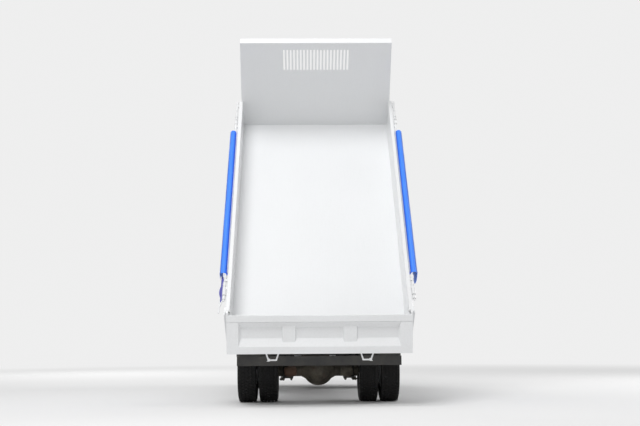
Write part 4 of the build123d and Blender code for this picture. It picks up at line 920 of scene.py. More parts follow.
EAR = 0.024
LOOP_LEGS = (0.520, 0.632)
RAIL_TOP = 0.675
SILL_IN, SILL_OUT = 0.316, 0.420
CROSS_COUNT, CROSS_WIDTH = 12, 0.060
GEAR_FACE, GEAR_Z, GEAR_FEET = 1.1520, 0.655, (0.113, 0.247, 3.217, 3.681)
CLEVIS_Y, CLEVIS_Z = (2.69, 2.81), (0.100, 0.020)
GREASE_NIPPLE = [(0.0, 0.0), (0.006, 0.0), (0.006, 0.006), (0.003, 0.010), (0.0036, 0.014), (0.0, 0.015)]


class TRUCK_OT_gate(bpy.types.Operator):
    """Add the gate's welds and the washers and bolts of its pins"""

    bl_idname = "truck.gate"
    bl_label = "Gate details"

    def execute(self, context):
        low, high = gate.box("tailgate")
        welds, pins = Shape(), Shape()
        for sign in (-1, 1):
            for x in (sign * high.x, sign * (high.x - EAR)):
                welds.weld((x, low.y + 0.004, -0.052), (x, low.y + 0.060, -0.052), 0.0035)
            for x in LOOP_LEGS:
                at, _ = surface_in(gate, "tailgate", (sign * x, -0.061, -0.60), (0, 0, 1))
                welds.weld(at - Vector((0.014, 0, 0)), at + Vector((0.014, 0, 0)), 0.003)
            tip = Vector((sign * (high.x - 0.026), 0, 0))
            pins.disc(standing(tip, (-sign, 0, 0)), 0.022, 0.004)
            pins.bolt(tip - Vector((sign * 0.004, 0, 0)), (-sign, 0, 0), 0.019, 0.008, False)
        seam = low.y + 0.002
        for sign in (-1, 1):
            welds.weld((sign * 0.10, seam, -0.034), (sign * (high.x - 0.03), seam, -0.034), 0.002)
        welds.make("gate_welds", "tailgate", "enamel", 40, gate, "white_paint")
        pins.make("gate_pin_bolts", "tailgate", "zinc", 30, gate)
        return {"FINISHED"}


class TRUCK_OT_bed(bpy.types.Operator):
    """Add the bed's welds, bolts and grease nipples"""

    bl_idname = "truck.bed"
    bl_label = "Bed details"

    def execute(self, context):
        rear, ahead = bed.box("bed_floor")
        under = bed.box("bed_underframe")
        sill_top = bed.box("bed_sills")[1].z
        welds, bolts = Shape(), Shape()
        end, z = ahead.y - 0.001, ahead.z
        for sign in (-1, 1):
            x = sign * (ahead.x - 0.001)
            welds.weld((x, rear.y + 0.01, z + 0.001), (x, ahead.y - 0.005, z + 0.001), 0.0045)
            welds.weld((x, end, z), (x, end, RAIL_TOP))
        welds.weld((-ahead.x, end, z + 0.001), (ahead.x, end, z + 0.001), 0.0045)
        pitch = (under[1].y - under[0].y - CROSS_WIDTH) / (CROSS_COUNT - 1)
        for i, edge, sign in product(range(CROSS_COUNT), (0.0, CROSS_WIDTH), (-1, 1)):
            y = under[0].y + i * pitch + edge
            welds.weld((sign * SILL_IN, y, sill_top), (sign * SILL_OUT, y, sill_top))
        welds.make("bed_welds", "bed", "enamel", 40, bed, "white_paint")
        for sign, foot, dy in product((-1, 1), GEAR_FEET, (-0.0095, 0.0095)):
            bolts.bolt((sign * GEAR_FACE, foot + dy, GEAR_Z), (sign, 0, 0), 0.011, 0.006)
        for sign in (-1, 1):
            for y, z in product(CLEVIS_Y, CLEVIS_Z):
                bolts.bolt((sign * SILL_OUT, y, z), (sign, 0, 0), 0.019, 0.010)
            bolts.turn(GREASE_NIPPLE, standing((sign * 0.368, 0.0, -0.0450), (0, 0, -1)), 10)
        bolts.make("bed_bolts", "bed", "zinc", 30, bed)
        return {"FINISHED"}


PIPE_X, BARREL_FACE = 0.03, -0.0945
EYE_ABOVE_PIN = 0.055


class TRUCK_OT_hoist(bpy.types.Operator):
    """Add the hoist's gland bolts, wiper ring, pipe and eye washers"""

    bl_idname = "truck.hoist"
    bl_label = "Hoist details"

    def execute(self, context):
        top = hoist.box("hoist_barrel")[1].z
        rod = hoist.box("hoist_rod")[1]
        zinc, rubber, pipe, ends = Shape(), Shape(), Shape(), Shape()
        for _, x, y in circle(8, 0.082, 0.5):
            zinc.bolt((x, y, top), (0, 0, 1), 0.016, 0.009)
        rubber.turn([(0.0458, 0.0), (0.062, 0.0), (0.062, 0.004), (0.054, 0.010), (0.0458, 0.010)],
                    standing((0, 0, top), (0, 0, 1)), 40, closed=True)
        union = top - 0.172
        pipe.tube([(PIPE_X, BARREL_FACE + y, z) for y, z in
                   ((0.004, 0.16), (-0.018, 0.165), (-0.024, 0.19), (-0.024, 0.70), (-0.024, top - 0.20),
                    (-0.016, top - 0.175), (0.006, union))], 0.008, 10)
        for z in (0.34, 0.62, 0.90):
            pipe.block((PIPE_X - 0.016, BARREL_FACE - 0.034, z),
                       (PIPE_X + 0.016, BARREL_FACE + 0.004, z + 0.024), 0.003)
        for z in (0.16, union):
            zinc.bolt((PIPE_X, BARREL_FACE + 0.004, z), (0, -1, 0), 0.026, 0.016)
        for sign in (-1, 1):
            ends.disc(standing((sign * rod.x, 0, rod.z - EYE_ABOVE_PIN), (sign, 0, 0)), 0.030, 0.005)
        zinc.make("hoist_gland_bolts", "hoist_barrel", "zinc", 30, hoist)
        rubber.make("hoist_wiper", "hoist_barrel", "seal", 30, hoist)
        pipe.make("hoist_pipe", "hoist_barrel", "frame", 30, hoist)
        ends.make("hoist_eye_washers", "hoist_rod", "zinc", 30, hoist)
        return {"FINISHED"}


# Chassis, lamps and tanks

_, rear_y, axle_z = joints["wheel_rear_right_spin"]["pos_m"]
front_y = joints["wheel_front_right_spin"]["pos_m"][1]
SPRING_X, SPRING_W, LEAF = 0.415, 0.075, 0.012
# The leaves' half lengths, their rise, and the clips' distances from the axle
REAR_SPRING = ((0.640, 0.600, 0.480, 0.350, 0.220), 0.026, (-0.42, -0.27, 0.27, 0.42))
FRONT_SPRING = ((0.600, 0.560, 0.430, 0.300, 0.180), 0.066, (-0.38, -0.24, 0.24, 0.38))
RIVET_PITCH, RIVET_END = 0.13, 0.06
AIR_PIPE_X = -0.343
CHAMBER = [(0.0, -0.096), (0.030, -0.096), (0.056, -0.086), (0.067, -0.052), (0.069, -0.010), (0.076, -0.010),
           (0.076, 0.008), (0.069, 0.008), (0.067, 0.044), (0.050, 0.066), (0.022, 0.074), (0.0, 0.074)]
CHAMBER_HOSE = ((0.060, 0.0, 0.050), (0.064, 0.0, 0.105), (0.085, 0.020, 0.150), (0.130, 0.080, 0.185),
                (0.200, 0.140, 0.195))


def spring_clips(shape, sign, y, seat, spring):
    """Bands about the leaves; at a distance d a leaf's foot is higher by the arc of the longest one."""
    halves, rise, places = spring
    radius = halves[0] ** 2 / (2 * rise)
    reach = SPRING_W / 2 + 0.006
    for d in places:
        held = sum(1 for half in halves if half >= abs(d) + 0.02)
        lift = d * d / (2 * radius)
        low = seat + (len(halves) - held) * LEAF + lift
        high = seat + len(halves) * LEAF + lift
        shape.block((sign * SPRING_X - reach, y + d - 0.016, low - 0.006),
                    (sign * SPRING_X + reach, y + d + 0.016, high + 0.006), 0.003)
        shape.bolt((sign * (SPRING_X + reach), y + d, low - 0.002), (sign, 0, 0), 0.013, 0.007, False)


class TRUCK_OT_chassis(bpy.types.Operator):
    """Add rivets, spring clips, nuts, air pipes, brake chambers and axle lugs to the frame"""

    bl_idname = "truck.chassis"
    bl_label = "Frame details"

    def execute(self, context):
        rivets, clips, nuts, pipes, lugs = Shape(), Shape(), Shape(), Shape(), Shape()
        for sign in (-1, 1):
            self.rail(rivets, sign)
            spring_clips(clips, sign, rear_y, axle_z + 0.0853, REAR_SPRING)
            spring_clips(clips, sign, front_y, 0.460, FRONT_SPRING)
            self.nuts(nuts, sign)
        for k, z in enumerate((0.862, 0.884, 0.906)):
            self.air_pipe(pipes, k, z)
        for i in range(8):
            y = -2.05 + i * 0.46
            pipes.block((AIR_PIPE_X - 0.007, y, 0.850), (AIR_PIPE_X + 0.0085, y + 0.020, 0.918), 0.002)
        rivets.make("frame_rivets", "chassis", "frame", 40)
        clips.make("spring_clips", "chassis", "frame")
        nuts.make("frame_nuts", "chassis", "casting")
        pipes.make("air_pipes", "chassis", "black", 40)
        self.chamber("left", -1, "rust")
        self.chamber("right", 1, "casting")
        for sign in (-1, 1):
            self.lug(lugs, sign)
        lugs.make("axle_lugs", "chassis", "casting")
        return {"FINISHED"}

    def rail(self, rivets, sign):
        low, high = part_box("frame_rail_right")
        count = int((high[1] - low[1] - 2 * RIVET_END) / RIVET_PITCH)
        for i, z in product(range(count + 1), (low[2] + 0.042, high[2] - 0.042)):
            rivets.rivet((sign * high[0], low[1] + RIVET_END + i * RIVET_PITCH, z), (sign, 0, 0))

    def nuts(self, nuts, sign):
        """The nuts of the U-bolts, the subframe's plates and the bed's hinge."""
        out = (sign, 0, 0)
        for y, half_y, foot in ((rear_y, 0.101, axle_z - 0.1073), (front_y, 0.061, 0.278)):
            for dy, dx in product((-half_y, half_y), (-0.0515, 0.0515)):
                nuts.bolt((sign * SPRING_X + dx, y + dy, foot), (0, 0, -1), 0.026, 0.016)
        for y, dy, z in product((-0.42, 0.48, 1.38), (-0.022, 0.022), (0.808, 0.905)):
            nuts.bolt((sign * 0.4280, rear_y + y + dy, z), out, 0.015, 0.008)
        _, hinge_y, hinge_z = joints["bed_tilt"]["pos_m"]
        for dy, dz in ((-0.014, 0.012), (0.014, -0.012)):
            nuts.bolt((sign * 0.447, hinge_y + dy, hinge_z + dz), out, 0.013, 0.006)

    def air_pipe(self, pipes, k, z):
        """One of the pipes along the left rail, a little uneven between its two bends."""
        y0, y1 = -2.22 + 0.03 * k, 1.36 - 0.05 * k
        run = [(y0 + (y1 - y0) * i / 60, z + 0.0012 * sin(i * 0.9 + k)) for i in range(61)]
        run = [(y0 - 0.05, z - 0.05), (y0 - 0.02, z - 0.012), *run, (y1 + 0.03, z - 0.010),
               (y1 + 0.05, z - 0.05)]
        pipes.tube([(AIR_PIPE_X, *p) for p in run], 0.0052)

    def chamber(self, side, sign, finish):
        shape = Shape()
        x, y, z = 0.385, rear_y - 0.207, axle_z - 0.014
        shape.turn(CHAMBER, standing((sign * x, y, z), (sign, 0, 0)), 32)
        for _, dy, dz in circle(6, 0.0725):
            shape.bolt((sign * (x + 0.008), y + dy, z + dz), (sign, 0, 0), 0.011, 0.007, False)
        shape.slab(sign, (0.300, 0.340), (y + 0.055, rear_y - 0.070), (z - 0.030, z + 0.045), 0.006)
        shape.tube([(sign * (x - dx), y + dy, z + dz) for dx, dy, dz in CHAMBER_HOSE], 0.009, 10)
        shape.make(f"brake_chamber_{side}", "chassis", finish, 35)

    def lug(self, lugs, sign):
        for x in (0.462, 0.496):
            lugs.slab(sign, (x, x + 0.012), (rear_y - 0.034, rear_y + 0.034), (0.276, 0.352), 0.008)
        lugs.bolt((sign * 0.508, rear_y, 0.297), (sign, 0, 0), 0.024, 0.012)
        lugs.tube([(sign * x, rear_y, 0.297) for x in (0.470, 0.500)], 0.016, 12)


FUEL_CAP = [(0.0, 0.0), (0.051, 0.0), (0.051, 0.006), (0.047, 0.008), (0.047, 0.026), (0.043, 0.031),
            (0.0, 0.033)]
GUARD_PLUG = [(0.0, 0.0), (0.0215, 0.0), (0.0215, 0.003), (0.017, 0.009), (0.009, 0.012), (0.0, 0.013)]
TANK_FACE, BATTERY_FACE, GUARD_X = -0.9630, 0.900, 1.085


class TRUCK_OT_tanks(bpy.types.Operator):
    """Add the fuel cap, latches, strap bolts, guard plugs and treads"""

    bl_idname = "truck.tanks"
    bl_label = "Tank and guard details"

    def execute(self, context):
        cap, straps, plugs, treads, latches = Shape(), Shape(), Shape(), Shape(), Shape()
        low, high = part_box("fuel_tank")
        place = standing((-0.640, high[1] - 0.090, high[2] - 0.001), (0, 0, 1))
        cap.turn(FUEL_CAP, place, 40)
        for angle, _, _ in circle(18, 1.0):
            cap.block((0.045, -0.0028, 0.009), (0.0500, 0.0028, 0.025), 0.001,
                      place @ Matrix.Rotation(angle, 4, "Z"))
        for y, z in product((low[1] + 0.170, high[1] - 0.170), (0.30, 0.12)):
            straps.bolt((TANK_FACE, y, low[2] + z), (-1, 0, 0), 0.019, 0.012)
        low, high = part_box("battery_box")
        for z in (0.565, 0.610, 0.655, 0.700):
            latches.block((BATTERY_FACE - 0.002, low[1] + 0.06, z),
                          (BATTERY_FACE + 0.005, high[1] - 0.06, z + 0.016), 0.0035)
        for y in (low[1] + 0.14, high[1] - 0.17):
            latches.block((BATTERY_FACE - 0.001, y, 0.690), (BATTERY_FACE + 0.012, y + 0.034, 0.775), 0.004)
            latches.tube([(BATTERY_FACE + x, y + dy, z) for x, dy, z in
                          ((0.010, 0.006, 0.770), (0.016, 0.006, 0.752),
                           (0.016, 0.028, 0.752), (0.010, 0.028, 0.770))], 0.003)
        low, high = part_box("side_guards")
        for sign, z in product((-1, 1), (0.520, 0.700)):
            for y, out in ((low[1], -1), (high[1], 1)):
                plugs.turn(GUARD_PLUG, standing((sign * GUARD_X, y - out * 0.001, z), (0, out, 0)))
        step_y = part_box("cab_steps")[0][1] + 0.016
        for sign, z, i in product((-1, 1), (0.380, 0.620), range(9)):
            y = step_y + i * 0.0225
            treads.slab(sign, (0.780, 1.055), (y, y + 0.010), (z - 0.001, z + 0.005), 0.002)
        cap.make("fuel_cap", "chassis", "black")
        straps.make("tank_strap_bolts", "chassis", "zinc")
        latches.make("battery_latches", "chassis", "frame")
        plugs.make("guard_plugs", "chassis", "black")
        treads.make("step_treads", "chassis", "black")
        return {"FINISHED"}


def lamp_lens(shape, x0, x1, z0, z1, y):
    """A lens with a shallow crown that fills a lamp's frame and faces backwards."""
    rows = 8
    points = []
    for j, i in product(range(rows + 1), repeat=2):
        u, v = 2 * i / rows - 1, 2 * j / rows - 1
        crown = 0.006 * (1 - u ** 4) * (1 - v ** 4)
        points.append((x0 + (x1 - x0) * i / rows, y - (0.001 + crown), z0 + (z1 - z0) * j / rows))
    shape.add(points, quads(rows + 1, rows + 1, around=False))


def skin_patch(shape, node, x0, x1, z0, z1, lift, thick, across=10, up=6):
    """A thin plate that follows a node's front between four sides."""
    x0, x1 = sorted((x0, x1))
    outer, inner = [], []
    for j, i in product(range(up + 1), range(across + 1)):
        at, normal = front_skin(node, x0 + (x1 - x0) * i / across, z0 + (z1 - z0) * j / up)
        outer.append(at + normal * (lift + thick))
        inner.append(at + normal * lift)
    width = across + 1
    total = len(outer)
    faces = []
    for face in quads(up + 1, width, around=False):
        faces += [face[::-1], tuple(total + i for i in face)]
    rim = (list(range(across)) + [across + width * j for j in range(up)]
           + [up * width + across - i for i in range(across)] + [width * (up - j) for j in range(up)])
    for k, a in enumerate(rim):
        b = rim[(k + 1) % len(rim)]
        faces.append((a, b, total + b, total + a))
    shape.add(outer + inner, faces)


TAIL_LAMP_X, TAIL_LAMP_WIDTH, TAIL_LAMP_GAP = 0.750, 0.250, 0.008
HEADLAMP_DOME = [(0.0490, 0.0), (0.0490, 0.004), (0.040, 0.009), (0.026, 0.0125), (0.010, 0.014),
                 (0.0, 0.0142)]


class TRUCK_OT_lamps(bpy.types.Operator):
    """Add the lenses, the headlamps' rings and domes, the bumper's slot and the blank plate"""

    bl_idname = "truck.lamps"
    bl_label = "Lamps"

    def execute(self, context):
        low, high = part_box("tail_lamps")
        lenses = {"amber": Shape(), "red": Shape(), "clear": Shape()}
        for sign in (-1, 1):
            for i, tone in enumerate(("clear", "red", "amber")):
                a = TAIL_LAMP_X + TAIL_LAMP_GAP + i * (TAIL_LAMP_WIDTH - TAIL_LAMP_GAP) / 3
                x0, x1 = sorted((sign * (a + 0.005), sign * (a + TAIL_LAMP_WIDTH / 3 - 0.015)))
                lamp_lens(lenses[tone], x0, x1, low[2] + 0.034, high[2] - 0.015, low[1])
        for tone, shape in lenses.items():
            shape.make(f"tail_lenses_{tone}", "chassis", tone, 50, slot="red_lens" if tone == "red" else None)
        rings, domes, amber, dark, plate = Shape(), Shape(), Shape(), Shape(), Shape()
        for sign in (-1, 1):
            for x in (0.712, 0.828):
                at, normal = front_skin("headlamps", sign * x, 0.585)
                place = standing(at - normal * 0.002, normal)
                rings.hoop(place, 0.050, 0.002, 0.006, 40)
                domes.turn(HEADLAMP_DOME, place, 40)
            skin_patch(amber, "headlamps", sign * 0.893, sign * 0.947, 0.530, 0.640, 0.0005, 0.006)
        skin_patch(dark, "front_bumper", -0.296, 0.296, 0.673, 0.702, 0.001, 0.003, 30, 2)
        skin_patch(plate, "front_bumper", -0.165, 0.165, 0.482, 0.645, 0.0006, 0.0012, 12, 6)
        for sign in (-1, 1):
            at, normal = front_skin("front_bumper", sign * 0.110, 0.628)
            rings.bolt(at + normal * 0.0015, normal, 0.009, 0.0015, False)
        rings.make("headlamp_rings", "chassis", "zinc", 50)
        domes.make("headlamp_domes", "chassis", "clear", 50, slot="clear_lens")
        amber.make("front_indicators", "chassis", "amber", 50)
        dark.make("bumper_slot", "chassis", "black", 50)
        plate.make("blank_plate", "chassis", "plate", 50)
        return {"FINISHED"}


# Cab

SCREEN_FOOT = 1.560
DOOR_WINDOW = ((2.268, 1.5), (2.858, 1.5), (2.678, 2.21), (2.268, 2.21))
WIPER_BOSS = [(0.0, -0.002), (0.019, -0.002), (0.019, 0.012), (0.013, 0.019), (0.0, 0.020)]
# The wiper's arm and the grab bar, as measures along, upwards (the arm only) and off the skin
WIPER_ARM = ((0.0, 1.523, 0.020), (0.05, 1.553, 0.030), (0.16, 1.592, 0.030), (0.30, 1.612, 0.024))
GRAB_BAR = ((0.0, -0.002), (0.0, 0.030), (0.012, 0.040), (0.15, 0.040), (0.162, 0.030), (0.162, -0.002))
BLADE_RUBBER = [(0.002, -0.0045), (0.002, 0.007), (-0.002, 0.007), (-0.002, -0.0045)]
GRILLE_X, GRILLE_LOW, GRILLE_HIGH, GRILLE_BAR = 0.617, 1.070, 1.330, 0.0125
LEVER_BOOT = [(0.0, -0.002), (0.072, -0.002), (0.066, 0.012), (0.040, 0.050), (0.020, 0.085), (0.013, 0.090),
              (0.0, 0.090)]
LEVER = ((0, 0, 0.06), (0, 0.008, 0.16), (0.004, 0.004, 0.27), (0.012, -0.010, 0.36))
LEVER_KNOB = [(0.0, -0.012), (0.016, -0.012), (0.024, 0.004), (0.026, 0.022), (0.020, 0.036), (0.009, 0.043),
              (0.0, 0.044)]


def opening(x, z0, z1, radius, grow=0.012):
    """A rounded opening's outline in X and Z, grown."""
    middle, half = (z0 + z1) / 2, (z1 - z0) / 2
    return split([(px, middle + pz) for px, pz in rounded(x + grow, half + grow, radius + grow, 6)])


def door_outline(grow):
    """The door window's outline in Y and Z, grown from its middle."""
    middle = sum((Vector(p) for p in DOOR_WINDOW), Vector((0, 0))) / 4
    arms = [Vector(p) - middle for p in DOOR_WINDOW]
    return split([middle + arm * (1 + grow / arm.length) for arm in arms])


def off_front(points):
    """A path along the cab's front, from points of X, Z and how far each stands off."""
    path = []
    for x, z, lift in points:
        at, normal = front_skin("cab_shell" if z < SCREEN_FOOT else "windscreen", x, z)
        path.append(at + normal * lift)
    return path


def seal(shape, path, width, height, facing):
    """A domed strip round an opening, with its flat foot on the skin."""
    count, turns = len(path), 8
    section = [(width / 2 * cos(pi * i / turns), height * sin(pi * i / turns)) for i in range(turns + 1)]
    facing = Vector(facing)
    points = []
    for i, p in enumerate(path):
        along = (path[(i + 1) % count] - path[i - 1]).normalized()
        across = along.cross(facing).normalized()
        up = across.cross(along).normalized()
        if up.dot(facing) < 0:
            up = -up
        points += [p + across * u + up * (v - 0.001) for u, v in section]
    shape.add(points, quads(count, len(section), loop=True))


class TRUCK_OT_cab(bpy.types.Operator):
    """Add seals, wipers, grille, mirror glass, handles and inner trim to the cab"""

    bl_idname = "truck.cab"
    bl_label = "Cab details"

    def execute(self, context):
        self.seals()
        self.wipers()
        self.front()
        self.mirrors()
        for name, sign in SIDES:
            self.door(name, sign)
        self.linings()
        self.gauges()
        self.lever()
        return {"FINISHED"}

    def seals(self):
        shape, line = Shape(), Shape()
        path = [front_skin("cab_shell", x, z)[0] for x, z in opening(0.920, SCREEN_FOOT, 2.300, 0.080)]
        seal(shape, path, 0.030, 0.007, Vector((0, 1, 0.25)).normalized())
        path = [surface("cab_shell", (x, BEHIND_CAB, z), (0, 1, 0))[0]
                for x, z in opening(0.600, 1.600, 2.100, 0.060)]
        seal(shape, path, 0.028, 0.006, (0, -1, 0))
        shape.make("cab_window_seals", "cab", "seal", 40)
        path = [front_skin("cab_shell", x, z)[0] for x, z in opening(0.900, 1.030, 1.462, 0.045, 0.0)]
        line.tube(path, 0.0022, 6, loop=True)
        line.make("cab_lid_gap", "cab", "seal", 40)

    def wipers(self):
        arms = Shape()
        for x in (0.62, -0.08):
            arms.turn(WIPER_BOSS, standing(*front_skin("cab_shell", x, 1.522)), 20)
            arms.tube(off_front((x - dx, z, lift) for dx, z, lift in WIPER_ARM), 0.006)
            line = [(x - 0.05 - 0.50 * i / 12, 1.597 + 0.030 * i / 12) for i in range(13)]
            arms.tube(off_front((px, z, 0.014) for px, z in line), 0.0045)
            arms.tube(off_front((px, z, 0.0052) for px, z in line), 0.0045, section=BLADE_RUBBER)
        arms.make("cab_wipers", "cab", "black", 40)

    def front(self):
        dark, bars, amber = Shape(), Shape(), Shape()
        pitch = (GRILLE_HIGH - GRILLE_LOW) / 4
        for i in range(5):
            z0 = GRILLE_LOW if i == 0 else GRILLE_LOW + (i - 0.5) * pitch + GRILLE_BAR
            z1 = GRILLE_HIGH if i == 4 else GRILLE_LOW + (i + 0.5) * pitch - GRILLE_BAR
            skin_patch(dark, "cab_shell", -GRILLE_X, GRILLE_X, z0 + 0.0015, z1 - 0.0015, 0.0004, 0.0026,
                       30, 2)
        for sign in (-1, 1):
            bars.tube(off_front((sign * (0.62 + dx), 1.395, lift) for dx, lift in GRAB_BAR), 0.0085, 10)
            at, _ = side_skin("cab_shell", sign, 3.055, 1.175)
            amber.prism(rounded(0.040, 0.016, 0.010, 4), -0.002, 0.012,
                        standing(at, (sign, 0, 0), sign * pi / 2), 0.006)
        dark.make("grille_mesh", "cab", "black")
        bars.make("cab_grab_bars", "cab", "black", 40)
        amber.make("cab_side_lamps", "cab", "amber", 50)

    def mirrors(self):
        low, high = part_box("mirrors")
        glass, rims = Shape(), Shape()
        for sign in (-1, 1):
            place = standing((sign * (high[0] - 0.070), low[1], 1.690), (0, -1, 0))
            glass.prism(rounded(0.060, 0.180, 0.018, 6), -0.0005, 0.0012, place, 0.0004)
            rim = [place @ Vector((x, y, 0.0005)) for x, y in rounded(0.0635, 0.1835, 0.020, 6)]
            seal(rims, rim, 0.008, 0.004, (0, -1, 0))
        glass.make("mirror_glass", "cab", "mirror", 20)
        rims.make("mirror_rims", "cab", "black", 40)

    def door(self, name, sign):
        """The seal, handle, lock, arm rest and lining of a door, all mirrored from the right one."""
        body = f"door_{name}"
        rubber, trim, metal = Shape(), Shape(), Shape()
        path = [side_skin(body, sign, y, z)[0] for y, z in door_outline(0.016)]
        seal(rubber, path, 0.022, 0.005, (sign, 0, 0))
        skin = sign * side_skin(body, sign, 2.300, 1.330)[0].x
        lining = sign * surface(body, (0.0, 2.6, 1.20), (sign, 0, 0))[0].x
        trim.slab(sign, (skin - 0.003, skin + 0.004), (2.215, 2.385), (1.298, 1.362), 0.003)
        trim.slab(sign, (skin + 0.002, skin + 0.022), (2.235, 2.345), (1.318, 1.346), 0.008)
        trim.slab(sign, (lining - 0.045, lining + 0.002), (2.42, 2.78), (1.205, 1.262), 0.014)
        trim.slab(sign, (lining - 0.009, lining + 0.002), (2.260, 2.900), (1.040, 1.440), 0.004)
        metal.turn([(0.0, 0.0), (0.011, 0.0), (0.011, 0.002), (0.009, 0.003), (0.0, 0.003)],
                   standing((sign * (skin + 0.004), 2.366, 1.330), (sign, 0, 0)), 20)
        metal.tube([(sign * (lining - dx), y, z) for dx, y, z in
                    ((0.009, 2.83, 1.33), (0.022, 2.83, 1.33), (0.026, 2.82, 1.32), (0.026, 2.78, 1.255),
                     (0.034, 2.775, 1.245))], 0.0055)
        rubber.make(f"door_seal_{name}", body, "seal", 40)
        trim.make(f"door_trim_{name}", body, "black")
        metal.make(f"door_lock_{name}", body, "zinc")

    def gauges(self):
        left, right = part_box("steering_wheel")
        middle = (left[0] + right[0]) / 2
        rings, dials, marks = Shape(), Shape(), Shape()
        for dx, r in ((-0.105, 0.050), (0.0, 0.036), (0.105, 0.050)):
            at, normal = surface("dashboard", (middle + dx, 2.5, 1.492), (0, 1, 0))
            place = standing(at - normal * 0.001, normal)
            rings.hoop(place, r, 0.003, 0.005, 32)
            dials.disc(place, r - 0.002, 0.0018, 32)
            for i in range(11):
                marks.block((r * 0.74, -0.0009, 0.0016), (r * 0.88, 0.0009, 0.0026), 0.0002,
                            place @ Matrix.Rotation(radians(-210 + 24 * i), 4, "Z"))
            marks.block((-r * 0.1, -0.0010, 0.0022), (r * 0.66, 0.0010, 0.0036), 0.0004,
                        place @ Matrix.Rotation(radians(150), 4, "Z"))
            marks.turn([(0.0, 0.0), (0.005, 0.0), (0.005, 0.0045), (0.0, 0.0048)], place, 14)
        rings.make("gauge_rings", "cab", "zinc", 40)
        dials.make("gauge_faces", "cab", "black")
        marks.make("gauge_marks", "cab", "plate")

    def lever(self):
        shape = Shape()
        at, _ = surface("cab_shell", (0.0, 2.30, 1.9), (0, 0, -1))
        path = [at + Vector(p) for p in LEVER]
        shape.turn(LEVER_BOOT, standing(at, (0, 0, 1)), 28)
        shape.tube(path, 0.0085, 10)
        shape.turn(LEVER_KNOB, standing(path[-1], (0.02, -0.08, 1)), 24)
        shape.make("gear_lever", "cab", "black", 40)

    def linings(self):
        """The floor mats, the back panel and the roof's vent."""
        mats, panels, vent = Shape(), Shape(), Shape()
        for sign in (-1, 1):
            mats.slab(sign, (0.480, 0.960), (2.300, 2.760), (1.0008, 1.0060), 0.002)
            for i in range(11):
                y = 2.320 + i * 0.040
                mats.slab(sign, (0.500, 0.940), (y, y + 0.018), (1.004, 1.0085), 0.0015)
        back = surface("cab_shell", (0.8, 2.4, 1.300), (0, -1, 0))[0].y
        panels.block((-0.960, back - 0.002, 1.090), (0.960, back + 0.010, 1.560), 0.005)
        for x in (-0.32, 0.32):
            panels.block((x - 0.004, back + 0.006, 1.100), (x + 0.004, back + 0.013, 1.550), 0.002)
        lid = standing(surface("cab_shell", (0.0, 2.25, 3.0), (0, 0, -1))[0], (0, 0, 1))
        vent.prism(rounded(0.280, 0.200, 0.045), -0.004, 0.012, lid, 0.006)
        vent.prism(rounded(0.250, 0.172, 0.040), 0.010, 0.034, lid, 0.012)
        vent.make("roof_vent", "cab", "enamel", slot="white_paint")
        mats.make("cab_mats", "cab", "seal")
        panels.make("cab_back_panel", "cab", "grey")


# Seats

SEAT_X = 0.700
VOXEL, PRESSURE, FRAMES = 0.009, 4.0, 20
CHANNEL_WIDTH, CHANNEL_DEPTH = 0.009, 0.007
PADS = (
    # Name, half sizes, thickness, how far it may swell, middle in Y and Z, turn about X, fill, and the
    # channels along and across
    ("cushion", (0.238, 0.258), 0.180, 0.018, (1.998, 1.290), 0.0, 0.70, (-0.150, 0.150), (-0.080, 0.090)),
    ("back", (0.228, 0.232), 0.116, 0.014, (1.740, 1.602), 90.0, 0.70, (-0.140, 0.140), (-0.090, 0.070)),
    ("head", (0.128, 0.074), 0.088, 0.010, (1.744, 1.925), 90.0, 0.80, (), (0.0,)),
)


def pad_form(half, thick, rows=18, power=2 / 3.4):
    """A crowned pad about its middle, from its half sizes in X and Y, with its top and underside bowed."""
    points = []
    around = 4 * rows
    inset = 0.24 * min(half)
    for k in range(rows + 1):
        v = -1 + 2 * k / rows
        swell = sqrt(max(0.0, 1 - abs(v) ** 3.2))
        reach = [size - inset + inset * swell for size in half]
        for a, c, s in circle(around, 1.0):
            x = (abs(c) ** power) * (1 if c > 0 else -1)
            y = (abs(s) ** power) * (1 if s > 0 else -1)
            pull = 1 - 0.020 * (cos(2 * a) ** 2)
            points.append((x * reach[0] * pull, y * reach[1] * pull, v * thick))
    return points, quads(rows + 1, around) + caps(rows + 1, around)


def evaluated(piece):
    graph = bpy.context.evaluated_depsgraph_get()
    return bpy.data.meshes.new_from_object(piece.evaluated_get(graph))


def swollen(name, half, thick, cap):
    """A pad blown up by cloth pressure from a smaller crowned form, as a mesh about its middle."""
    points, faces = pad_form((half[0] - cap * 0.6, half[1] - cap * 0.6), thick / 2 - cap * 0.8)
    mesh = bpy.data.meshes.new(name)
    mesh.from_pydata(points, [], faces)
    pad = bpy.data.objects.new(name, mesh)
    scene = bpy.context.scene
    scene.collection.objects.link(pad)
    remesh = pad.modifiers.new("remesh", "REMESH")
    remesh.mode, remesh.voxel_size = "VOXEL", VOXEL
    solid = evaluated(pad)
    pad.modifiers.clear()
    pad.data = solid
    start = [v.co.copy() for v in solid.vertices]
    cloth = pad.modifiers.new("cloth", "CLOTH")
    cloth.settings.use_pressure = True
    cloth.settings.uniform_pressure_force = PRESSURE
    cloth.settings.effector_weights.gravity = 0.0
    cloth.settings.quality = 4
    cloth.point_cache.frame_start, cloth.point_cache.frame_end = 1, FRAMES
    for number in range(1, FRAMES + 1):
        scene.frame_set(number)
    blown = evaluated(pad)
    pad.modifiers.clear()
    pad.data = blown
    for vertex, rest in zip(blown.vertices, start):
        step = vertex.co - rest
        if step.length > cap:
            vertex.co = rest + step * (cap / step.length)
    scene.frame_set(1)
    result = pad.data
    bpy.data.objects.remove(pad)
    return result


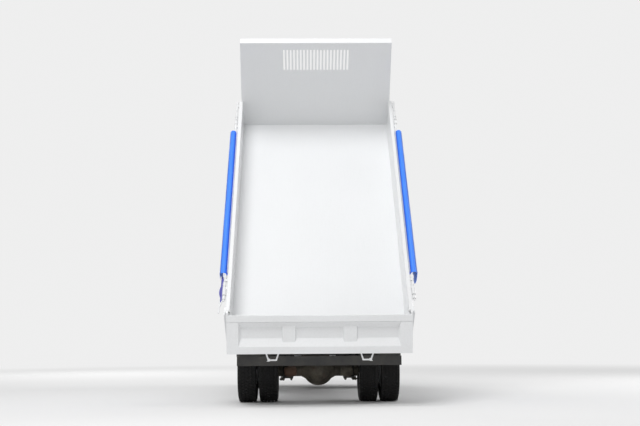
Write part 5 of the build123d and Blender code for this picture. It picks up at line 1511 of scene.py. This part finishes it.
class TRUCK_OT_seats(bpy.types.Operator):
    """Blow up the seats' pads, sew their channels and stand them on their boxes"""

    bl_idname = "truck.seats"
    bl_label = "Seats"

    def execute(self, context):
        for part, half, thick, cap, middle, turn, fill, along, across in PADS:
            mesh = swollen(f"seat_{part}", half, thick, cap)
            self.sew(mesh, thick, turn, along, across)
            cord = self.seam(mesh, half, thick * 0.20)
            for name, sign in SIDES:
                place = Matrix.Translation((sign * SEAT_X, *middle))
                place = place @ Matrix.Rotation(-radians(turn), 4, "X")
                piece = bpy.data.objects.new(f"seat_{part}_{name}", mesh.copy())
                context.scene.collection.objects.link(piece)
                piece.matrix_world = place
                piece.data.materials.clear()
                piece.data.materials.append(finishes["seat"])
                piece.data.polygons.foreach_set("use_smooth", [True] * len(piece.data.polygons))
                finer = piece.modifiers.new("finer", "SUBSURF")
                finer.levels = finer.render_levels = 1
                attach(piece, "cab")
                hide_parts("seats")
                piping = Shape()
                piping.tube([place @ p for p in cord], 0.0035, loop=True)
                piping.make(f"seat_{part}_piping_{name}", "cab", "black", 50)
        frames = Shape()
        for sign in (-1, 1):
            self.stand(frames, sign)
        base = frames.make("seat_frames", "cab", "black")
        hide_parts("seats")
        return {"FINISHED"}

    def sew(self, mesh, thick, turn, along, across):
        """Press the sewn channels into the pad's face."""
        for vertex in mesh.vertices:
            p = vertex.co
            if turn and p.z < 0 or not turn and p.z < -thick * 0.2:
                continue
            dip = sum(exp(-((p.x - x) / CHANNEL_WIDTH) ** 2) for x in along)
            if not along or abs(p.x) < along[1]:
                dip += sum(exp(-((p.y - y) / CHANNEL_WIDTH) ** 2) for y in across)
            p.z -= CHANNEL_DEPTH * min(1.0, dip) * min(1.0, max(0.0, p.z) / (thick * 0.3))

    def seam(self, mesh, half, height):
        """The line round a pad at a height, a little outside its cloth."""
        tree = BVHTree.FromPolygons([v.co for v in mesh.vertices], [p.vertices for p in mesh.polygons])
        path = []
        for _, c, s in circle(96, 2.0):
            out = Vector((c * half[0], s * half[1], 0))
            at, _, _, _ = tree.ray_cast(out + Vector((0, 0, height)), -out.normalized())
            path.append(at - out.normalized() * 0.0005)
        return path

    def stand(self, frames, sign):
        """A seat's box, runners, head rods, lift bar and buckle."""
        x = sign * SEAT_X
        frames.block((x - 0.195, 1.785, 1.020), (x + 0.195, 2.210, 1.196), 0.020)
        for dx in (-0.150, 0.150):
            frames.block((x + dx - 0.018, 1.760, 1.001), (x + dx + 0.018, 2.235, 1.021), 0.003)
            frames.tube([(x + dx * 0.36, 1.744, z) for z in (1.800, 1.900)], 0.0065, 10)
        frames.tube([(x + dx, y, z) for dx, y, z in ((-0.120, 2.225, 1.040), (-0.120, 2.262, 1.052),
                                                     (0.120, 2.262, 1.052), (0.120, 2.225, 1.040))], 0.006)
        frames.block((x - sign * 0.233, 1.735, 1.190), (x - sign * 0.233 + 0.012, 1.835, 1.330), 0.004)


# Stage

# Name, place, target, size and share of the key light's power of each light
LIGHTS = (
    ("key light", (-3.0, -9.8, 12.2), (0, 0, 2.2), 7.0, 1.0),
    ("side light", (10.0, 3.0, 6.0), (0, 0, 1.5), 6.0, 0.30),
    ("front light", (-6.0, 12.0, 7.0), (0, 0, 1.2), 7.0, 0.45),
)
FLOOR_REACH = 60.0


class TRUCK_OT_stage(bpy.types.Operator):
    """Set the floor, the light and the camera"""

    bl_idname = "truck.stage"
    bl_label = "Stage"

    def execute(self, context):
        sizes = context.scene.truck_stage
        scene = context.scene
        mesh = bpy.data.meshes.new("stage_floor")
        corners = [(x * FLOOR_REACH, y * FLOOR_REACH, 0) for x, y in ((-1, -1), (1, -1), (1, 1), (-1, 1))]
        mesh.from_pydata(corners, [], [(0, 1, 2, 3)])
        mesh.materials.append(finishes["stage"])
        floor = bpy.data.objects.new("stage_floor", mesh)
        scene.collection.objects.link(floor)
        scene.world = self.sky(sizes)
        for *values, part in LIGHTS:
            lamp = self.lamp(*values, sizes.key * part)
            lamp.visible_glossy = lamp.name != "front light"
        camera = bpy.data.objects.new("photo camera", bpy.data.cameras.new("photo camera"))
        scene.collection.objects.link(camera)
        camera.data.lens = sizes.lens
        camera.data.sensor_width = 36.0
        look = (Matrix.Rotation(-sizes.yaw, 4, "Z") @ Matrix.Rotation(pi / 2 + sizes.pitch, 4, "X")
                @ Matrix.Rotation(sizes.roll, 4, "Z"))
        camera.matrix_world = Matrix.Translation(sizes.eye) @ look
        scene.camera = camera
        scene.view_settings.view_transform = "Standard"
        return {"FINISHED"}

    def sky(self, sizes):
        """An even white world, brighter where the camera, the glass and the gloss see it."""
        world = bpy.data.worlds.new("stage world")
        world.use_nodes = True
        tree = world.node_tree
        back = tree.nodes["Background"]
        back.inputs["Color"].default_value = (1.0, 1.0, 1.0, 1)
        seen = tree.nodes.new("ShaderNodeLightPath")
        mix = tree.nodes.new("ShaderNodeMix")
        rays = [seen.outputs[f"Is {kind} Ray"] for kind in ("Camera", "Transmission", "Glossy")]
        while len(rays) > 1:
            either = tree.nodes.new("ShaderNodeMath")
            either.operation = "MAXIMUM"
            for socket, ray in zip(either.inputs, (rays.pop(), rays.pop())):
                tree.links.new(ray, socket)
            rays.append(either.outputs["Value"])
        tree.links.new(rays[0], mix.inputs[0])
        mix.inputs[2].default_value = sizes.fill
        mix.inputs[3].default_value = BACKDROP
        tree.links.new(mix.outputs[0], back.inputs["Strength"])
        return world

    def lamp(self, name, at, target, size, power):
        data = bpy.data.lights.new(name, "AREA")
        data.shape = "DISK"
        data.size = size
        data.energy = power
        lamp = bpy.data.objects.new(name, data)
        bpy.context.scene.collection.objects.link(lamp)
        aim = (Vector(target) - Vector(at)).to_track_quat("-Z", "Y").to_matrix().to_4x4()
        lamp.matrix_world = Matrix.Translation(at) @ aim
        return lamp


# Panel and registration


class TRUCK_PT_panel(bpy.types.Panel):
    """Sizes, colours and steps of the truck's dressing"""

    bl_label = "Dump truck"
    bl_idname = "TRUCK_PT_panel"
    bl_space_type = "VIEW_3D"
    bl_region_type = "UI"
    bl_category = "Truck"

    def draw(self, context):
        for group in GROUPS:
            box = self.layout.box()
            for name in GROUPS[group].__annotations__:
                box.prop(getattr(context.scene, group), name)
        for step in STEPS:
            self.layout.operator(step.bl_idname)


STEPS = (TRUCK_OT_finishes, TRUCK_OT_tyres, TRUCK_OT_covers, TRUCK_OT_wheels, TRUCK_OT_gate, TRUCK_OT_bed,
         TRUCK_OT_hoist, TRUCK_OT_chassis, TRUCK_OT_tanks, TRUCK_OT_lamps,
         TRUCK_OT_cab, TRUCK_OT_seats, TRUCK_OT_stage)


def register():
    for group in GROUPS.values():
        bpy.utils.register_class(group)
    for name, group in GROUPS.items():
        setattr(bpy.types.Scene, name, bpy.props.PointerProperty(type=group))
    for step in STEPS:
        bpy.utils.register_class(step)
    bpy.utils.register_class(TRUCK_PT_panel)


def unregister():
    bpy.utils.unregister_class(TRUCK_PT_panel)
    for step in reversed(STEPS):
        bpy.utils.unregister_class(step)
    for name, group in GROUPS.items():
        delattr(bpy.types.Scene, name)
        bpy.utils.unregister_class(group)


def main():
    register()
    for step in STEPS:
        group, name = step.bl_idname.split(".")
        getattr(getattr(bpy.ops, group), name)()


if __name__ == "__main__":
    main()
